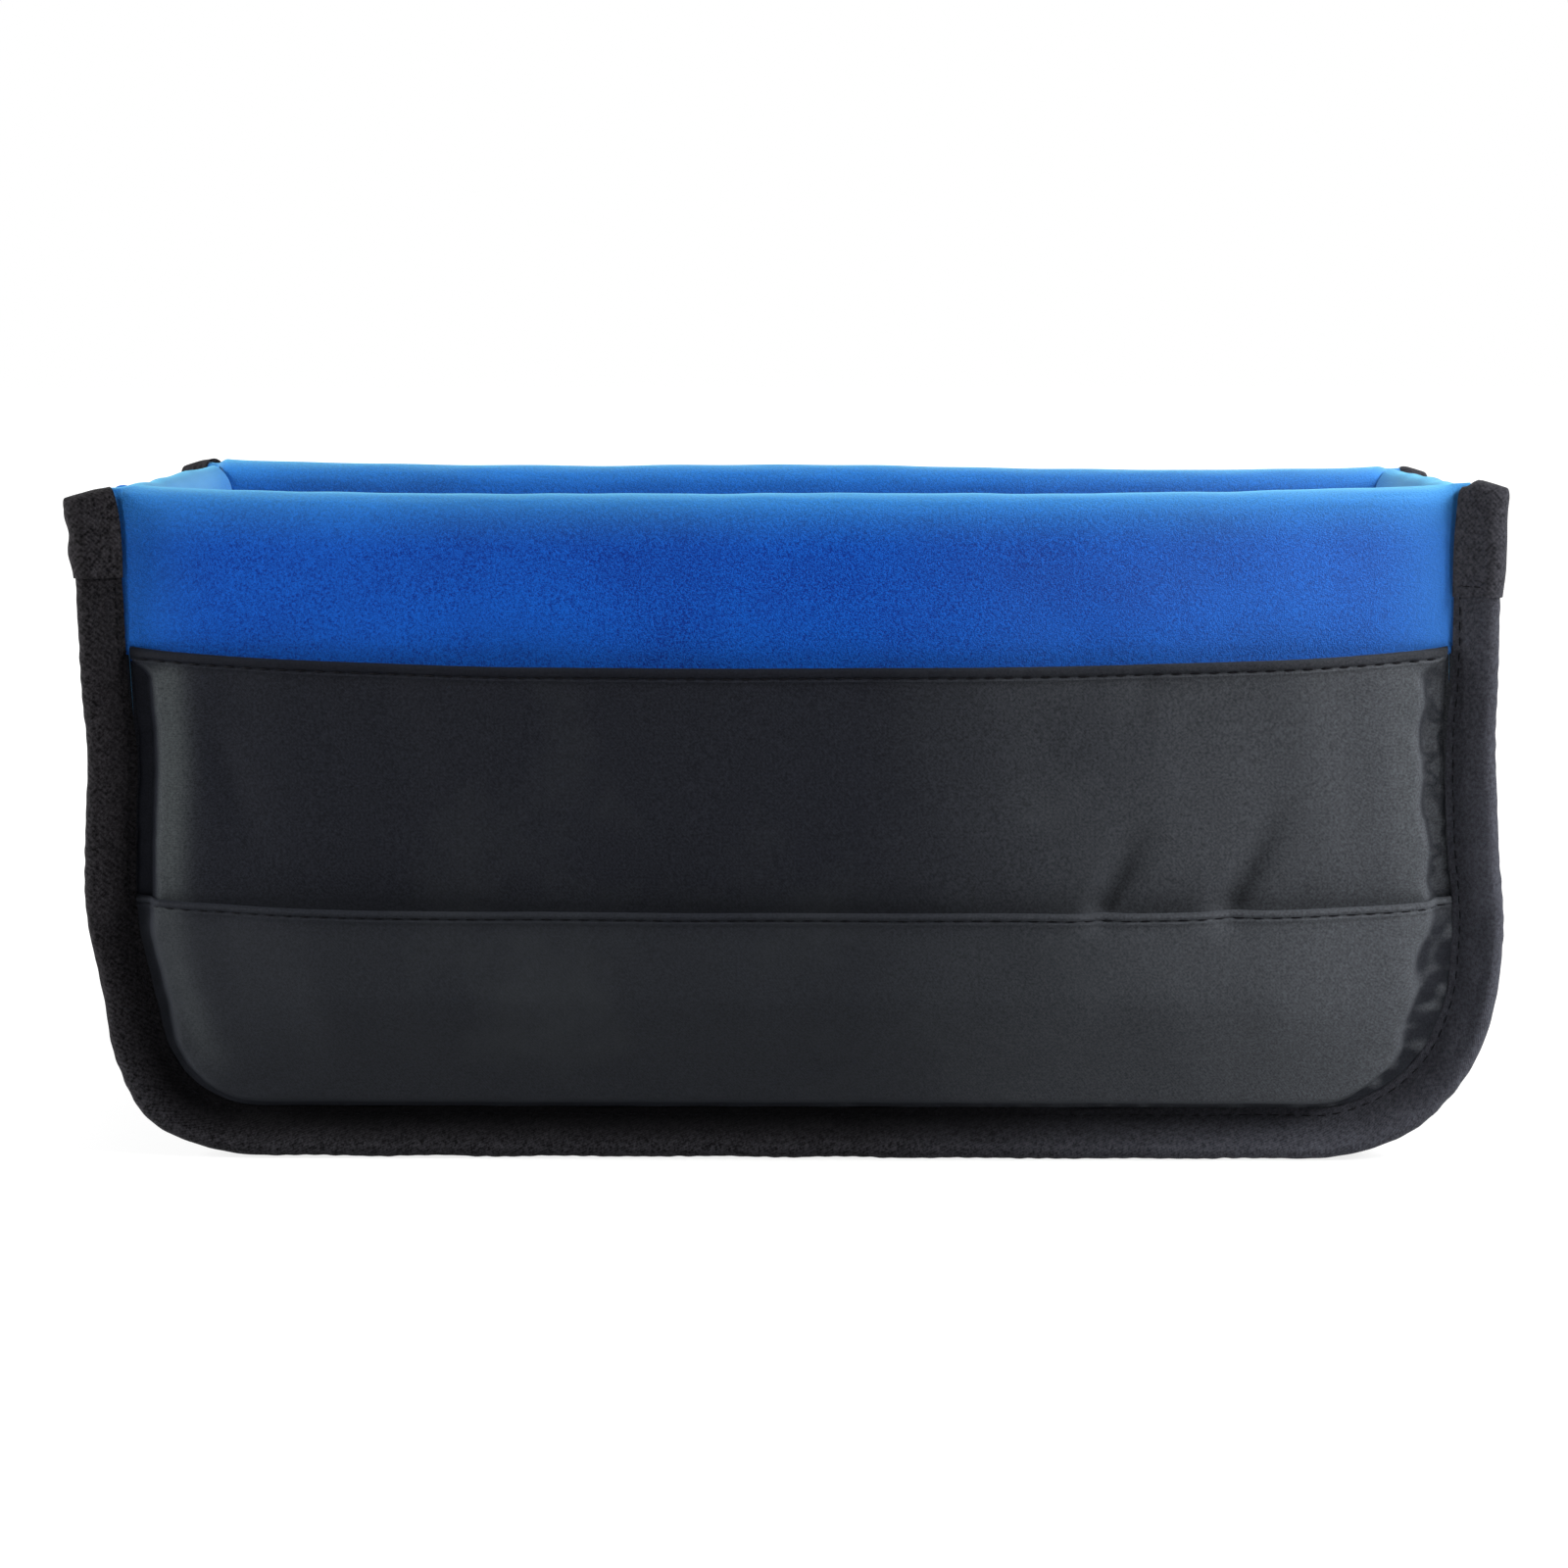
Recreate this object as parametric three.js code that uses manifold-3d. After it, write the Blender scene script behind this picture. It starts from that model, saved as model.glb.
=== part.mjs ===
// A padded camera insert: an open box of fleece over foam that drops into a plain bag.
// Two long walls are joined by one strip that forms both ends and the base. The seams
// point outwards and are bound with folded tape, with a cap over each of the four tops.
// Two slip pockets lie on the front, and two loose dividers grip the walls inside.
//
// Millimetres. X runs along the pouch, the front faces -Y, Z is up, and the origin is
// the middle of the pouch at the level that it stands on.

import * as THREE from 'three';
import { mergeVertices } from 'three/addons/utils/BufferGeometryUtils.js';
import Module from 'manifold-3d';

// Overall form
const overallWidth = 280; // over the binding caps
const rimHeight = 133; // from the ground to the rim's crest at the corners
const seamDepth = 92; // from the front seam to the rear seam
const cornerRadius = 27; // of the seam at each lower corner
const wallBulge = 5; // how far the middle of a long wall bows outwards
const bowHeight = 80; // height above the seam at which a wall is fully bowed
const rimDip = 1.3; // sag of a long wall's rim at its middle
const endPuff = 7; // how far an end stands out past its seams
const endDip = 0.7; // sag of an end's rim at its middle

// Layers
const foamThickness = 6;
const fleeceThickness = 1;
const nylonThickness = 0.8;
const layerGap = 0.3; // between any two layers that touch
const endHemHeight = 100; // of the nylon's top edge on each end, where the fleece begins

// Bound seams
const flangeTilt = THREE.MathUtils.degToRad(30); // lean of the seam away from the box
const flangeThickness = 0.7; // of each layer caught in the seam
const tapeThickness = 0.7;
const bindingReach = 10.4; // from the seam's root to the tape's folded edge
const bindingLip = 0.8; // from the seam's root to the tape's sewn edges
const capHeight = 21;
const capRise = 0.5; // of the cap's inner top corner above the rim
const capSlope = 2.3; // fall of the cap's top towards its outer edge
const capLip = 2.8; // from the seam's root to the cap's near edges
const fleeceTurn = 0.6; // along the flange to where the fleece has turned into it
const skinTurn = 1; // along the flange to where the skin has turned into it
const tapeCorner = 0.6; // chamfer of the tape's folded edge

// Pockets on the front wall
const upperHemHeight = 101.5;
const upperHemSag = 3.2;
const lowerHemHeight = 52.3;
const lowerHemSag = 0.9;
const hemWidth = 2.4; // of the turned-in top edge
const hemThickness = 1.5;
const pocketSlack = 5; // how far a pocket stands off what is behind it
const slackHeight = 30; // height above the seam at which the slack is full

// Dividers
const dividerPlace = 44; // from the middle of the pouch to each divider
const dividerDrop = 11; // below the rim
const dividerFoam = 5;
const hookThickness = 0.8;
const hookLeg = 8; // of hook tape on each face of a divider
const hookMargin = 2; // from a divider's top and bottom to its hook tape

// Steps of the curved forms
const arcSteps = 5; // round each lower corner
const flatSteps = 10; // along the straight part of a wall
const foldSteps = 6; // over a rim

// What follows from the layers
const wallThickness = 2 * fleeceThickness + 2 * layerGap + foamThickness;
const foldRadius = wallThickness / 2;
const foldInnerRadius = foldRadius - fleeceThickness;
const foamHalf = foamThickness / 2;
const gussetThickness = nylonThickness + fleeceThickness + 2 * layerGap + foamThickness;
const wallInset = fleeceThickness + layerGap / 2; // from the seam's root to a wall's edge
const foamInset = wallInset + layerGap;

// The flange's two layers, the folded tape and the cap, as distances across the flange
const flangeMiddle = (layerGap + flangeThickness) / 2;
const tapeInner = layerGap / 2 + flangeThickness + layerGap;
const tapeMiddle = tapeInner + tapeThickness / 2;
const tapeOuter = tapeInner + tapeThickness;
const capInner = tapeOuter + layerGap;
const capOuter = capInner + tapeThickness;
const flangeReach = bindingReach - tapeThickness - 2 * layerGap;
const capInnerReach = bindingReach + layerGap;
const capReach = capInnerReach + tapeThickness;
const bindingTop = rimHeight + capRise - capSlope - tapeThickness - layerGap;

// A point of the seam's section: out is away from the box in the plane of the wall, and
// fore is away from the box along Y. Along and across are measured on the tilted flange.
function flangePoint(along, across) {
  return [
    along * Math.cos(flangeTilt) - across * Math.sin(flangeTilt),
    along * Math.sin(flangeTilt) + across * Math.cos(flangeTilt),
  ];
}

// The line through a section's points moved sideways by a distance, with mitred corners
function offsetLine(line, distance) {
  const normal = (a, b) => {
    const length = Math.hypot(b[0] - a[0], b[1] - a[1]);
    return [(a[1] - b[1]) / length, (b[0] - a[0]) / length];
  };
  const last = line.length - 1;
  return line.map((point, k) => {
    const before = normal(line[Math.max(k - 1, 0)], line[Math.max(k, 1)]);
    const after = normal(line[Math.min(k, last - 1)], line[Math.min(k + 1, last)]);
    const sum = [before[0] + after[0], before[1] + after[1]];
    const scale = (2 * distance) / (sum[0] ** 2 + sum[1] ** 2);
    return [point[0] + sum[0] * scale, point[1] + sum[1] * scale];
  });
}

const tapeLine = [
  flangePoint(bindingLip, tapeMiddle),
  flangePoint(bindingReach - tapeThickness / 2 - tapeCorner, tapeMiddle),
  flangePoint(bindingReach - tapeThickness / 2, tapeMiddle - tapeCorner),
  flangePoint(bindingReach - tapeThickness / 2, tapeCorner - tapeMiddle),
  flangePoint(bindingReach - tapeThickness / 2 - tapeCorner, -tapeMiddle),
  flangePoint(bindingLip, -tapeMiddle),
];

// The tape's lowest point sets the seam's height, and the cap's outermost its width
const tapeOut = Math.max(...offsetLine(tapeLine, tapeThickness / 2).map((point) => point[0]));
const capOut = flangePoint(capReach, -capOuter)[0];
const seamFloor = tapeOut;
const seamHalfWidth = overallWidth / 2 - capOut;
const straightHalf = seamHalfWidth - cornerRadius;
const cornerHeight = seamFloor + cornerRadius;

// The base hangs level with the lowest tape
const basePuff = seamFloor;

// Across the depth, the gusset is flat in its middle and rounds off to its seams
const flatHalf = seamDepth / 4;
const rootHalf = seamDepth / 2 - nylonThickness - 2 * layerGap;
const rootLift = 0.15; // keeps the skin's fold at the seam off the wall's edge
const gussetHalf = seamDepth / 2 - wallThickness - layerGap;
const skinCutHalf = rootHalf - 0.5;
const bandHalf = skinCutHalf - layerGap;

const roundness = (y) => {
  const t = THREE.MathUtils.clamp((Math.abs(y) - flatHalf) / (rootHalf - flatHalf), 0, 1);
  return Math.sqrt(1 - t * t);
};
const puffAt = (turn) => endPuff + (basePuff - endPuff) * Math.sin(turn) ** 2;

// Joins two faces of rows by columns points round their edges into one closed solid.
// With ring, the last column meets the first.
function thickSheet(rows, columns, faceA, faceB, ring = false) {
  const positions = [];
  for (const face of [faceA, faceB]) {
    for (let i = 0; i < rows; i++) {
      for (let j = 0; j < columns; j++) positions.push(...face(i, j));
    }
  }
  const at = (side, i, j) => (side * rows + i) * columns + (j % columns);
  const triangles = [];
  const quad = (a, b, c, d) => triangles.push(a, b, c, a, c, d);
  const spans = ring ? columns : columns - 1;
  const bottom = rows - 1;
  for (let j = 0; j < spans; j++) {
    for (let i = 0; i < bottom; i++) {
      quad(at(0, i, j), at(0, i, j + 1), at(0, i + 1, j + 1), at(0, i + 1, j));
      quad(at(1, i, j), at(1, i + 1, j), at(1, i + 1, j + 1), at(1, i, j + 1));
    }
    quad(at(0, 0, j), at(1, 0, j), at(1, 0, j + 1), at(0, 0, j + 1));
    quad(at(0, bottom, j + 1), at(1, bottom, j + 1), at(1, bottom, j), at(0, bottom, j));
  }
  for (let i = 0; i < bottom && !ring; i++) {
    quad(at(0, i, 0), at(0, i + 1, 0), at(1, i + 1, 0), at(1, i, 0));
    quad(at(0, i, spans), at(1, i, spans), at(1, i + 1, spans), at(0, i + 1, spans));
  }
  return outward(positions, triangles);
}

// A geometry whose faces point out, whichever way round its points were given
function outward(positions, triangles) {
  const vertex = (k) => new THREE.Vector3().fromArray(positions, 3 * k);
  let volume = 0;
  for (let k = 0; k < triangles.length; k += 3) {
    const [a, b, c] = triangles.slice(k, k + 3).map(vertex);
    volume += a.dot(b.cross(c));
  }
  const faces = volume < 0 ? [...triangles].reverse() : triangles;
  const geometry = new THREE.BufferGeometry();
  geometry.setAttribute('position', new THREE.Float32BufferAttribute(positions, 3));
  geometry.setIndex(faces);
  geometry.computeVertexNormals();
  return geometry;
}

const wasm = await Module();
wasm.setup();

function toSolid(geometry) {
  const bare = geometry.clone();
  bare.deleteAttribute('normal');
  bare.deleteAttribute('uv');
  const merged = mergeVertices(bare);
  const mesh = new wasm.Mesh({
    numProp: 3,
    vertProperties: new Float32Array(merged.attributes.position.array),
    triVerts: new Uint32Array(merged.index.array),
  });
  return new wasm.Manifold(mesh);
}

function fromSolid(solid) {
  const mesh = solid.getMesh();
  const positions = [];
  for (let k = 0; k < mesh.vertProperties.length; k += mesh.numProp) {
    positions.push(...mesh.vertProperties.slice(k, k + 3));
  }
  return outward(positions, [...mesh.triVerts]);
}

// Materials
function finish(color, roughness) {
  return new THREE.MeshStandardMaterial({ color, roughness, metalness: 0 });
}
const fleece = finish(0x2259b8, 0.95);
const nylon = finish(0x2b2f33, 0.55);
const tape = finish(0x1b1a1c, 0.85);
const foam = finish(0x6d7076, 0.9);
const hookTape = finish(0x161618, 0.8);

const pouch = new THREE.Group();

function place(name, geometry, material) {
  const mesh = new THREE.Mesh(geometry, material);
  mesh.name = name;
  pouch.add(mesh);
}

// Stations down the left seam, along the base and up the right, with the way out of each
function seamStations(top) {
  const stations = [];
  for (const side of [-1, 1]) {
    const half = [{ x: side * seamHalfWidth, z: top, nx: side, nz: 0, turn: 0 }];
    for (let k = 0; k <= arcSteps; k++) {
      const turn = ((k / arcSteps) * Math.PI) / 2;
      half.push({
        x: side * (straightHalf + cornerRadius * Math.cos(turn)),
        z: cornerHeight - cornerRadius * Math.sin(turn),
        nx: side * Math.cos(turn),
        nz: -Math.sin(turn),
        turn,
      });
    }
    stations.push(...(side < 0 ? half : half.reverse()));
  }
  return stations;
}

const fromSeam = (station, out, y) => [
  station.x + station.nx * out,
  y,
  station.z + station.nz * out,
];

// A flat strip of the given mid-line and thickness, swept round the seam. End is -1 on
// the front seam and 1 on the rear one.
function sweepRoundSeam(line, thickness, end, top) {
  const stations = seamStations(top);
  const faces = [offsetLine(line, thickness / 2), offsetLine(line, -thickness / 2)];
  const face = (section) => (i, j) =>
    fromSeam(stations[i], section[j][0], end * (seamDepth / 2 + section[j][1]));
  return thickSheet(stations.length, line.length, face(faces[0]), face(faces[1]));
}

// The long walls. Each is measured inwards from its seam plane and bows outwards above
// the seam, which runs up in an arc near the wall's lower corners.
const across = (x) => Math.abs(x) / seamHalfWidth;
const rimCrest = (x) => rimHeight - rimDip * (1 - across(x) ** 4);

function seamHeight(x) {
  const past = Math.max(Math.abs(x) - straightHalf, 0);
  return cornerHeight - Math.sqrt(Math.max(cornerRadius ** 2 - past ** 2, 0));
}

function bulge(x, z) {
  const rise = THREE.MathUtils.clamp((z - seamHeight(x)) / bowHeight, 0, 1);
  return wallBulge * (1 - across(x) ** 4) * (1 - (1 - rise) ** 2);
}

const wallPoint = (end, x, inwards, z) => [x, end * (seamDepth / 2 - inwards + bulge(x, z)), z];

// Where a wall's columns stand, and the height at which each begins
function wallColumns(inset) {
  const radius = cornerRadius - inset;
  const columns = [];
  for (let k = 0; k < arcSteps; k++) {
    const turn = ((k / arcSteps) * Math.PI) / 2;
    const x = straightHalf + radius * Math.cos(turn);
    columns.push({ x: -x, base: cornerHeight - radius * Math.sin(turn) });
  }
  for (let k = 0; k <= flatSteps; k++) {
    columns.push({ x: straightHalf * ((2 * k) / flatSteps - 1), base: seamFloor + inset });
  }
  return [...columns, ...columns.slice(0, arcSteps).reverse().map((c) => ({ ...c, x: -c.x }))];
}

const heightSteps = [0, 0.1, 0.25, 0.45, 0.65, 0.85, 1];
const foldAngles = Array.from({ length: foldSteps + 1 }, (_, k) => (k / foldSteps) * Math.PI);

function wallLining(end) {
  const columns = wallColumns(wallInset);
  const surface = (radius) => (i, j) => {
    const { x, base } = columns[i];
    const foldHeight = rimCrest(x) - foldRadius;
    const inner = j >= heightSteps.length;
    const past = j - heightSteps.length;
    if (!inner) {
      const z = base + (foldHeight - base) * heightSteps[j];
      return wallPoint(end, x, foldRadius - radius, z);
    }
    if (past < foldAngles.length - 2) {
      const angle = foldAngles[past + 1];
      const z = foldHeight + radius * Math.sin(angle);
      return wallPoint(end, x, foldRadius - radius * Math.cos(angle), z);
    }
    const step = heightSteps[heightSteps.length - 1 - (past - (foldAngles.length - 2))];
    return wallPoint(end, x, foldRadius + radius, base + (foldHeight - base) * step);
  };
  const count = 2 * heightSteps.length + foldAngles.length - 2;
  const folded = thickSheet(columns.length, count, surface(foldRadius), surface(foldInnerRadius));
  const seamEdge = [
    [-wallInset - layerGap, -fleeceThickness / 2],
    flangePoint(fleeceTurn, flangeMiddle),
    flangePoint(flangeReach, flangeMiddle),
  ];
  const flange = sweepRoundSeam(seamEdge, flangeThickness, end, bindingTop);
  return fromSolid(toSolid(folded).add(toSolid(flange)));
}

function wallFoam(end) {
  const columns = wallColumns(foamInset);
  const topAngles = [0.2, 0.45, 0.75].map((share) => (share * Math.PI) / 2);
  const surface = (side) => (i, j) => {
    const { x, base } = columns[i];
    const foldHeight = rimCrest(x) - foldRadius;
    if (j < heightSteps.length) {
      const z = base + (foldHeight - base) * heightSteps[j];
      return wallPoint(end, x, foldRadius + side * foamHalf, z);
    }
    const angle = topAngles[j - heightSteps.length];
    const z = foldHeight + foamHalf * Math.sin(angle);
    return wallPoint(end, x, foldRadius + side * foamHalf * Math.cos(angle), z);
  };
  return thickSheet(
    columns.length,
    heightSteps.length + topAngles.length,
    surface(-1),
    surface(1),
  );
}

// A panel on the outside of a wall, from the seam up to its top edge. Standoff gives the
// clear distance from the wall's face to the back of the panel.
function outerPanel(end, topEdge, standoff, edgeThickness) {
  const columns = wallColumns(foamInset);
  const hemStart = [hemWidth + nylonThickness, hemWidth];
  const steps = [0, 0.12, 0.3, 0.5, 0.72];
  const count = steps.length + hemStart.length + 1;
  const surface = (front) => (i, j) => {
    const { x, base } = columns[i];
    const top = topEdge(x);
    const panelTop = top - hemStart[0];
    const hem = j - steps.length;
    const z = hem < 0 ? base + (panelTop - base) * steps[j] : top - [...hemStart, 0][hem];
    const thickness = hem > 0 ? edgeThickness : nylonThickness;
    return wallPoint(end, x, -standoff(x, z) - (front ? thickness : 0), z);
  };
  return thickSheet(columns.length, count, surface(true), surface(false));
}

function slack(x, z) {
  const rise = THREE.MathUtils.smoothstep((z - seamHeight(x)) / slackHeight, 0, 1);
  return pocketSlack * (1 - across(x) ** 6) * rise;
}

const upperStandoff = (x, z) => layerGap + slack(x, z);
const lowerStandoff = (x, z) => upperStandoff(x, z) + nylonThickness + layerGap + slack(x, z);
const hemLine = (height, sag) => (x) => height - sag * (1 - across(x) ** 2.5);
const upperHem = hemLine(upperHemHeight, upperHemSag);

place('front_foam', wallFoam(-1), foam);
place('front_lining', wallLining(-1), fleece);
place('front_upper_pocket', outerPanel(-1, upperHem, upperStandoff, hemThickness), nylon);
place(
  'front_lower_pocket',
  outerPanel(-1, hemLine(lowerHemHeight, lowerHemSag), lowerStandoff, hemThickness),
  nylon,
);
place('rear_foam', wallFoam(1), foam);
place('rear_lining', wallLining(1), fleece);
place('rear_skin', outerPanel(1, upperHem, () => layerGap, nylonThickness), nylon);

// The gusset: one padded strip that is the left end, the base and the right end. Its
// layers are measured outwards from the seam line.
const bandFoot = endHemHeight + layerGap;
const endRimHeight = (y) => rimHeight - endDip * (1 - (y / gussetHalf) ** 2) - foldRadius;
const foldCentre = -nylonThickness - layerGap - foamHalf;
const depthSteps = 4;

// Depth positions from one edge to the other, closer together where the strip rounds off
function depthPositions(half) {
  const sine = (half - flatHalf) / (rootHalf - flatHalf);
  const limit = Math.asin(THREE.MathUtils.clamp(sine, 0, 1));
  const positive = [];
  for (let k = 0; k <= depthSteps; k++) {
    positive.push(flatHalf + (rootHalf - flatHalf) * Math.sin((limit * k) / depthSteps));
  }
  return [...positive.map((y) => -y).reverse(), 0, ...positive];
}

// Half the depth of the fleece as it turns over an end's rim: it draws in between the
// walls once it would meet their edges
function rimHalfDepth(angle) {
  const need = (foldInnerRadius * (1 - Math.cos(angle))) / endPuff;
  if (angle >= Math.PI / 2 || need >= 1) return gussetHalf;
  const reach = flatHalf + (rootHalf - flatHalf) * Math.sqrt(1 - need * need) - layerGap;
  return THREE.MathUtils.clamp(reach, gussetHalf, bandHalf);
}

// Rows of the fleece strip from the foot of one end's outer band, over the rim and down
// inside to the corner. Each row gives its half depth and its place for a depth and a side
// of the sheet: 1 is the face that shows and 0 the face against the foam.
function endRows() {
  const radius = (face) => foldInnerRadius + face * fleeceThickness;
  const row = (half, out, height) => ({ half, out, height });
  const rows = [];
  for (const share of [0, 0.35, 0.7]) {
    const height = (y) => THREE.MathUtils.lerp(bandFoot, endRimHeight(y), share);
    rows.push(row(bandHalf, (face) => foldCentre + radius(face), height));
  }
  for (const angle of foldAngles) {
    const out = (face) => foldCentre + radius(face) * Math.cos(angle);
    const height = (y, face) => endRimHeight(y) + radius(face) * Math.sin(angle);
    rows.push(row(rimHalfDepth(angle), out, height));
  }
  for (const share of [0.33, 0.67]) {
    const height = (y) => THREE.MathUtils.lerp(endRimHeight(y), cornerHeight, share);
    rows.push(row(gussetHalf, (face) => foldCentre - radius(face), height));
  }
  return rows;
}

function gussetLining() {
  const end = endRows();
  const round = seamStations(rimHeight).slice(1, -1);
  const count = 2 * end.length + round.length;
  const surface = (face) => (i, j) => {
    const fromRight = i >= end.length + round.length;
    const row = fromRight ? end[count - 1 - i] : end[i];
    if (i >= end.length && !fromRight) {
      const station = round[i - end.length];
      const y = depthPositions(gussetHalf)[j];
      const out = puffAt(station.turn) * roundness(y) + foldCentre - foldInnerRadius;
      return fromSeam(station, out - face * fleeceThickness, y);
    }
    const y = depthPositions(row.half)[j];
    const side = fromRight ? 1 : -1;
    const x = seamHalfWidth + endPuff * roundness(y) + row.out(face);
    return [side * x, y, row.height(y, face)];
  };
  return thickSheet(count, depthPositions(gussetHalf).length, surface(1), surface(0));
}

function endFoam(side) {
  const depths = depthPositions(gussetHalf);
  const topAngles = [0.2, 0.45, 0.75].map((share) => (share * Math.PI) / 2);
  const shares = [0, 0.5, 1];
  const surface = (face) => (i, j) => {
    const y = depths[i];
    const middle = seamHalfWidth + endPuff * roundness(y) + foldCentre;
    const foot = cornerHeight + layerGap;
    if (j < shares.length) {
      const z = THREE.MathUtils.lerp(foot, endRimHeight(y), shares[j]);
      return [side * (middle + face * foamHalf), y, z];
    }
    const angle = topAngles[j - shares.length];
    const x = middle + face * foamHalf * Math.cos(angle);
    return [side * x, y, endRimHeight(y) + foamHalf * Math.sin(angle)];
  };
  return thickSheet(depths.length, shares.length + topAngles.length, surface(1), surface(-1));
}

function baseFoam() {
  const depths = depthPositions(gussetHalf);
  const round = seamStations(rimHeight).slice(1, -1);
  const surface = (face) => (i, j) => {
    const out = puffAt(round[i].turn) * roundness(depths[j]) + foldCentre + face * foamHalf;
    return fromSeam(round[i], out, depths[j]);
  };
  return thickSheet(round.length, depths.length, surface(1), surface(-1));
}

// The outer skin, with its edges turned into both seams. Above the hem on each end only
// those edges go on, up to the caps.
function gussetSkin() {
  const stations = seamStations(bindingTop);
  const edge = [skinTurn, flangeReach].map((along) => flangePoint(along, -flangeMiddle));
  const depths = depthPositions(rootHalf).filter((y) => y !== 0);
  const sections = stations.map(({ turn }) => {
    const crown = puffAt(turn) - nylonThickness / 2;
    const middle = depths.map((y) => [y, THREE.MathUtils.lerp(rootLift, crown, roundness(y))]);
    const rear = edge.map(([out, fore]) => [seamDepth / 2 + fore, out]);
    const front = rear.map(([y, out]) => [-y, out]).reverse();
    const line = [...front, ...middle, ...rear];
    return [1, -1].map((face) => offsetLine(line, (face * nylonThickness) / 2));
  });
  const surface = (face) => (i, j) => {
    const [y, out] = sections[i][face][j];
    return fromSeam(stations[i], out, y);
  };
  const whole = thickSheet(stations.length, sections[0][0].length, surface(0), surface(1));
  const above = new THREE.BoxGeometry(2 * overallWidth, 2 * skinCutHalf, rimHeight);
  above.translate(0, 0, endHemHeight + rimHeight / 2);
  return fromSolid(toSolid(whole).subtract(toSolid(above)));
}

place('left_end_foam', endFoam(-1), foam);
place('base_foam', baseFoam(), foam);
place('right_end_foam', endFoam(1), foam);
place('gusset_lining', gussetLining(), fleece);
place('gusset_skin', gussetSkin(), nylon);

// The bindings and their caps. A cap is a sleeve of tape over the top of a binding, open
// below and towards the box, with its top falling outwards.
function bindingCap(side, end) {
  const basis = new THREE.Matrix4().makeBasis(
    new THREE.Vector3(side * Math.cos(flangeTilt), end * Math.sin(flangeTilt), 0),
    new THREE.Vector3(0, 0, 1),
    new THREE.Vector3(-side * Math.sin(flangeTilt), end * Math.cos(flangeTilt), 0),
  );
  basis.setPosition(side * seamHalfWidth, (end * seamDepth) / 2, 0);
  const topAt = (along) => {
    return rimHeight + capRise - (capSlope * (along - capLip)) / (capReach - capLip);
  };
  const prism = (near, far, foot, lowered, rear, front) => {
    const outline = new THREE.Shape([
      new THREE.Vector2(near, foot),
      new THREE.Vector2(far, foot),
      new THREE.Vector2(far, topAt(far) - lowered),
      new THREE.Vector2(near, topAt(near) - lowered),
    ]);
    const block = new THREE.ExtrudeGeometry(outline, { depth: front - rear, bevelEnabled: false });
    block.translate(0, 0, rear);
    block.applyMatrix4(basis);
    const corners = [...block.attributes.position.array];
    return toSolid(outward(corners, corners.slice(0, corners.length / 3).map((_, k) => k)));
  };
  const foot = rimHeight + capRise - capHeight;
  const below = foot - capHeight;
  const block = prism(capLip, capReach, foot, 0, -capOuter, capOuter);
  const slot = prism(-capReach, capInnerReach, below, tapeThickness, -capInner, capInner);
  return fromSolid(block.subtract(slot));
}

for (const [end, name] of [[-1, 'front'], [1, 'rear']]) {
  place(`${name}_binding`, sweepRoundSeam(tapeLine, tapeThickness, end, bindingTop), tape);
  place(`${name}_left_binding_cap`, bindingCap(-1, end), tape);
  place(`${name}_right_binding_cap`, bindingCap(1, end), tape);
}

// The dividers. Each stands on the base's edges and follows the bow of both walls, so it
// is wider at its top and lifts straight out.
const coreHalf = dividerFoam / 2;
const coverInner = coreHalf + layerGap;
const coverOuter = coverInner + fleeceThickness;
const hookInner = coverOuter + layerGap;
const hookOuter = hookInner + hookThickness;
const dividerFoot =
  seamFloor - basePuff * roundness(gussetHalf) + gussetThickness + layerGap;
const dividerTop = rimHeight - dividerDrop;
const dividerLevels = [0, 0.2, 0.4, 0.65, 1];

// Half the length of a divider's core and cover at a height
function dividerHalfLength(z) {
  const wallFace = seamDepth / 2 - wallThickness + bulge(dividerPlace + hookOuter, z);
  return wallFace - hookThickness - 2 * layerGap;
}

// Points round a divider's upright section: a round top and foot of the given half
// thickness, with a level at each of the shares of its straight height
function dividerRing(half) {
  const foot = dividerFoot + coverOuter;
  const head = dividerTop - coverOuter;
  const levels = dividerLevels.map((share) => THREE.MathUtils.lerp(foot, head, share));
  const arc = [45, 90, 135].map(THREE.MathUtils.degToRad);
  return [
    ...levels.map((z) => [half, z]),
    ...arc.map((angle) => [half * Math.cos(angle), head + half * Math.sin(angle)]),
    ...levels.reverse().map((z) => [-half, z]),
    ...arc.map((angle) => [-half * Math.cos(angle), foot - half * Math.sin(angle)]),
  ];
}

function dividerCover(middleX) {
  const rings = [dividerRing(coverOuter), dividerRing(coverInner)];
  const surface = (ring) => (i, j) => {
    const [x, z] = ring[j];
    return [middleX + x, (i === 0 ? -1 : 1) * dividerHalfLength(z), z];
  };
  return thickSheet(2, rings[0].length, surface(rings[0]), surface(rings[1]), true);
}

function dividerCore(middleX) {
  const foot = dividerFoot + coverOuter;
  const head = dividerTop - coverOuter;
  const round = [70, 35].map(THREE.MathUtils.degToRad);
  const bend = (angle, height) => [coreHalf * Math.cos(angle), height + coreHalf * Math.sin(angle)];
  const outline = [
    ...round.map((angle) => bend(-angle, foot)),
    ...dividerLevels.map((share) => [coreHalf, THREE.MathUtils.lerp(foot, head, share)]),
    ...round.map((angle) => bend(angle, head)).reverse(),
  ];
  const surface = (side) => (i, j) => {
    const [x, z] = outline[j];
    return [middleX + side * x, (i === 0 ? -1 : 1) * dividerHalfLength(z), z];
  };
  return thickSheet(2, outline.length, surface(1), surface(-1));
}

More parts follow.
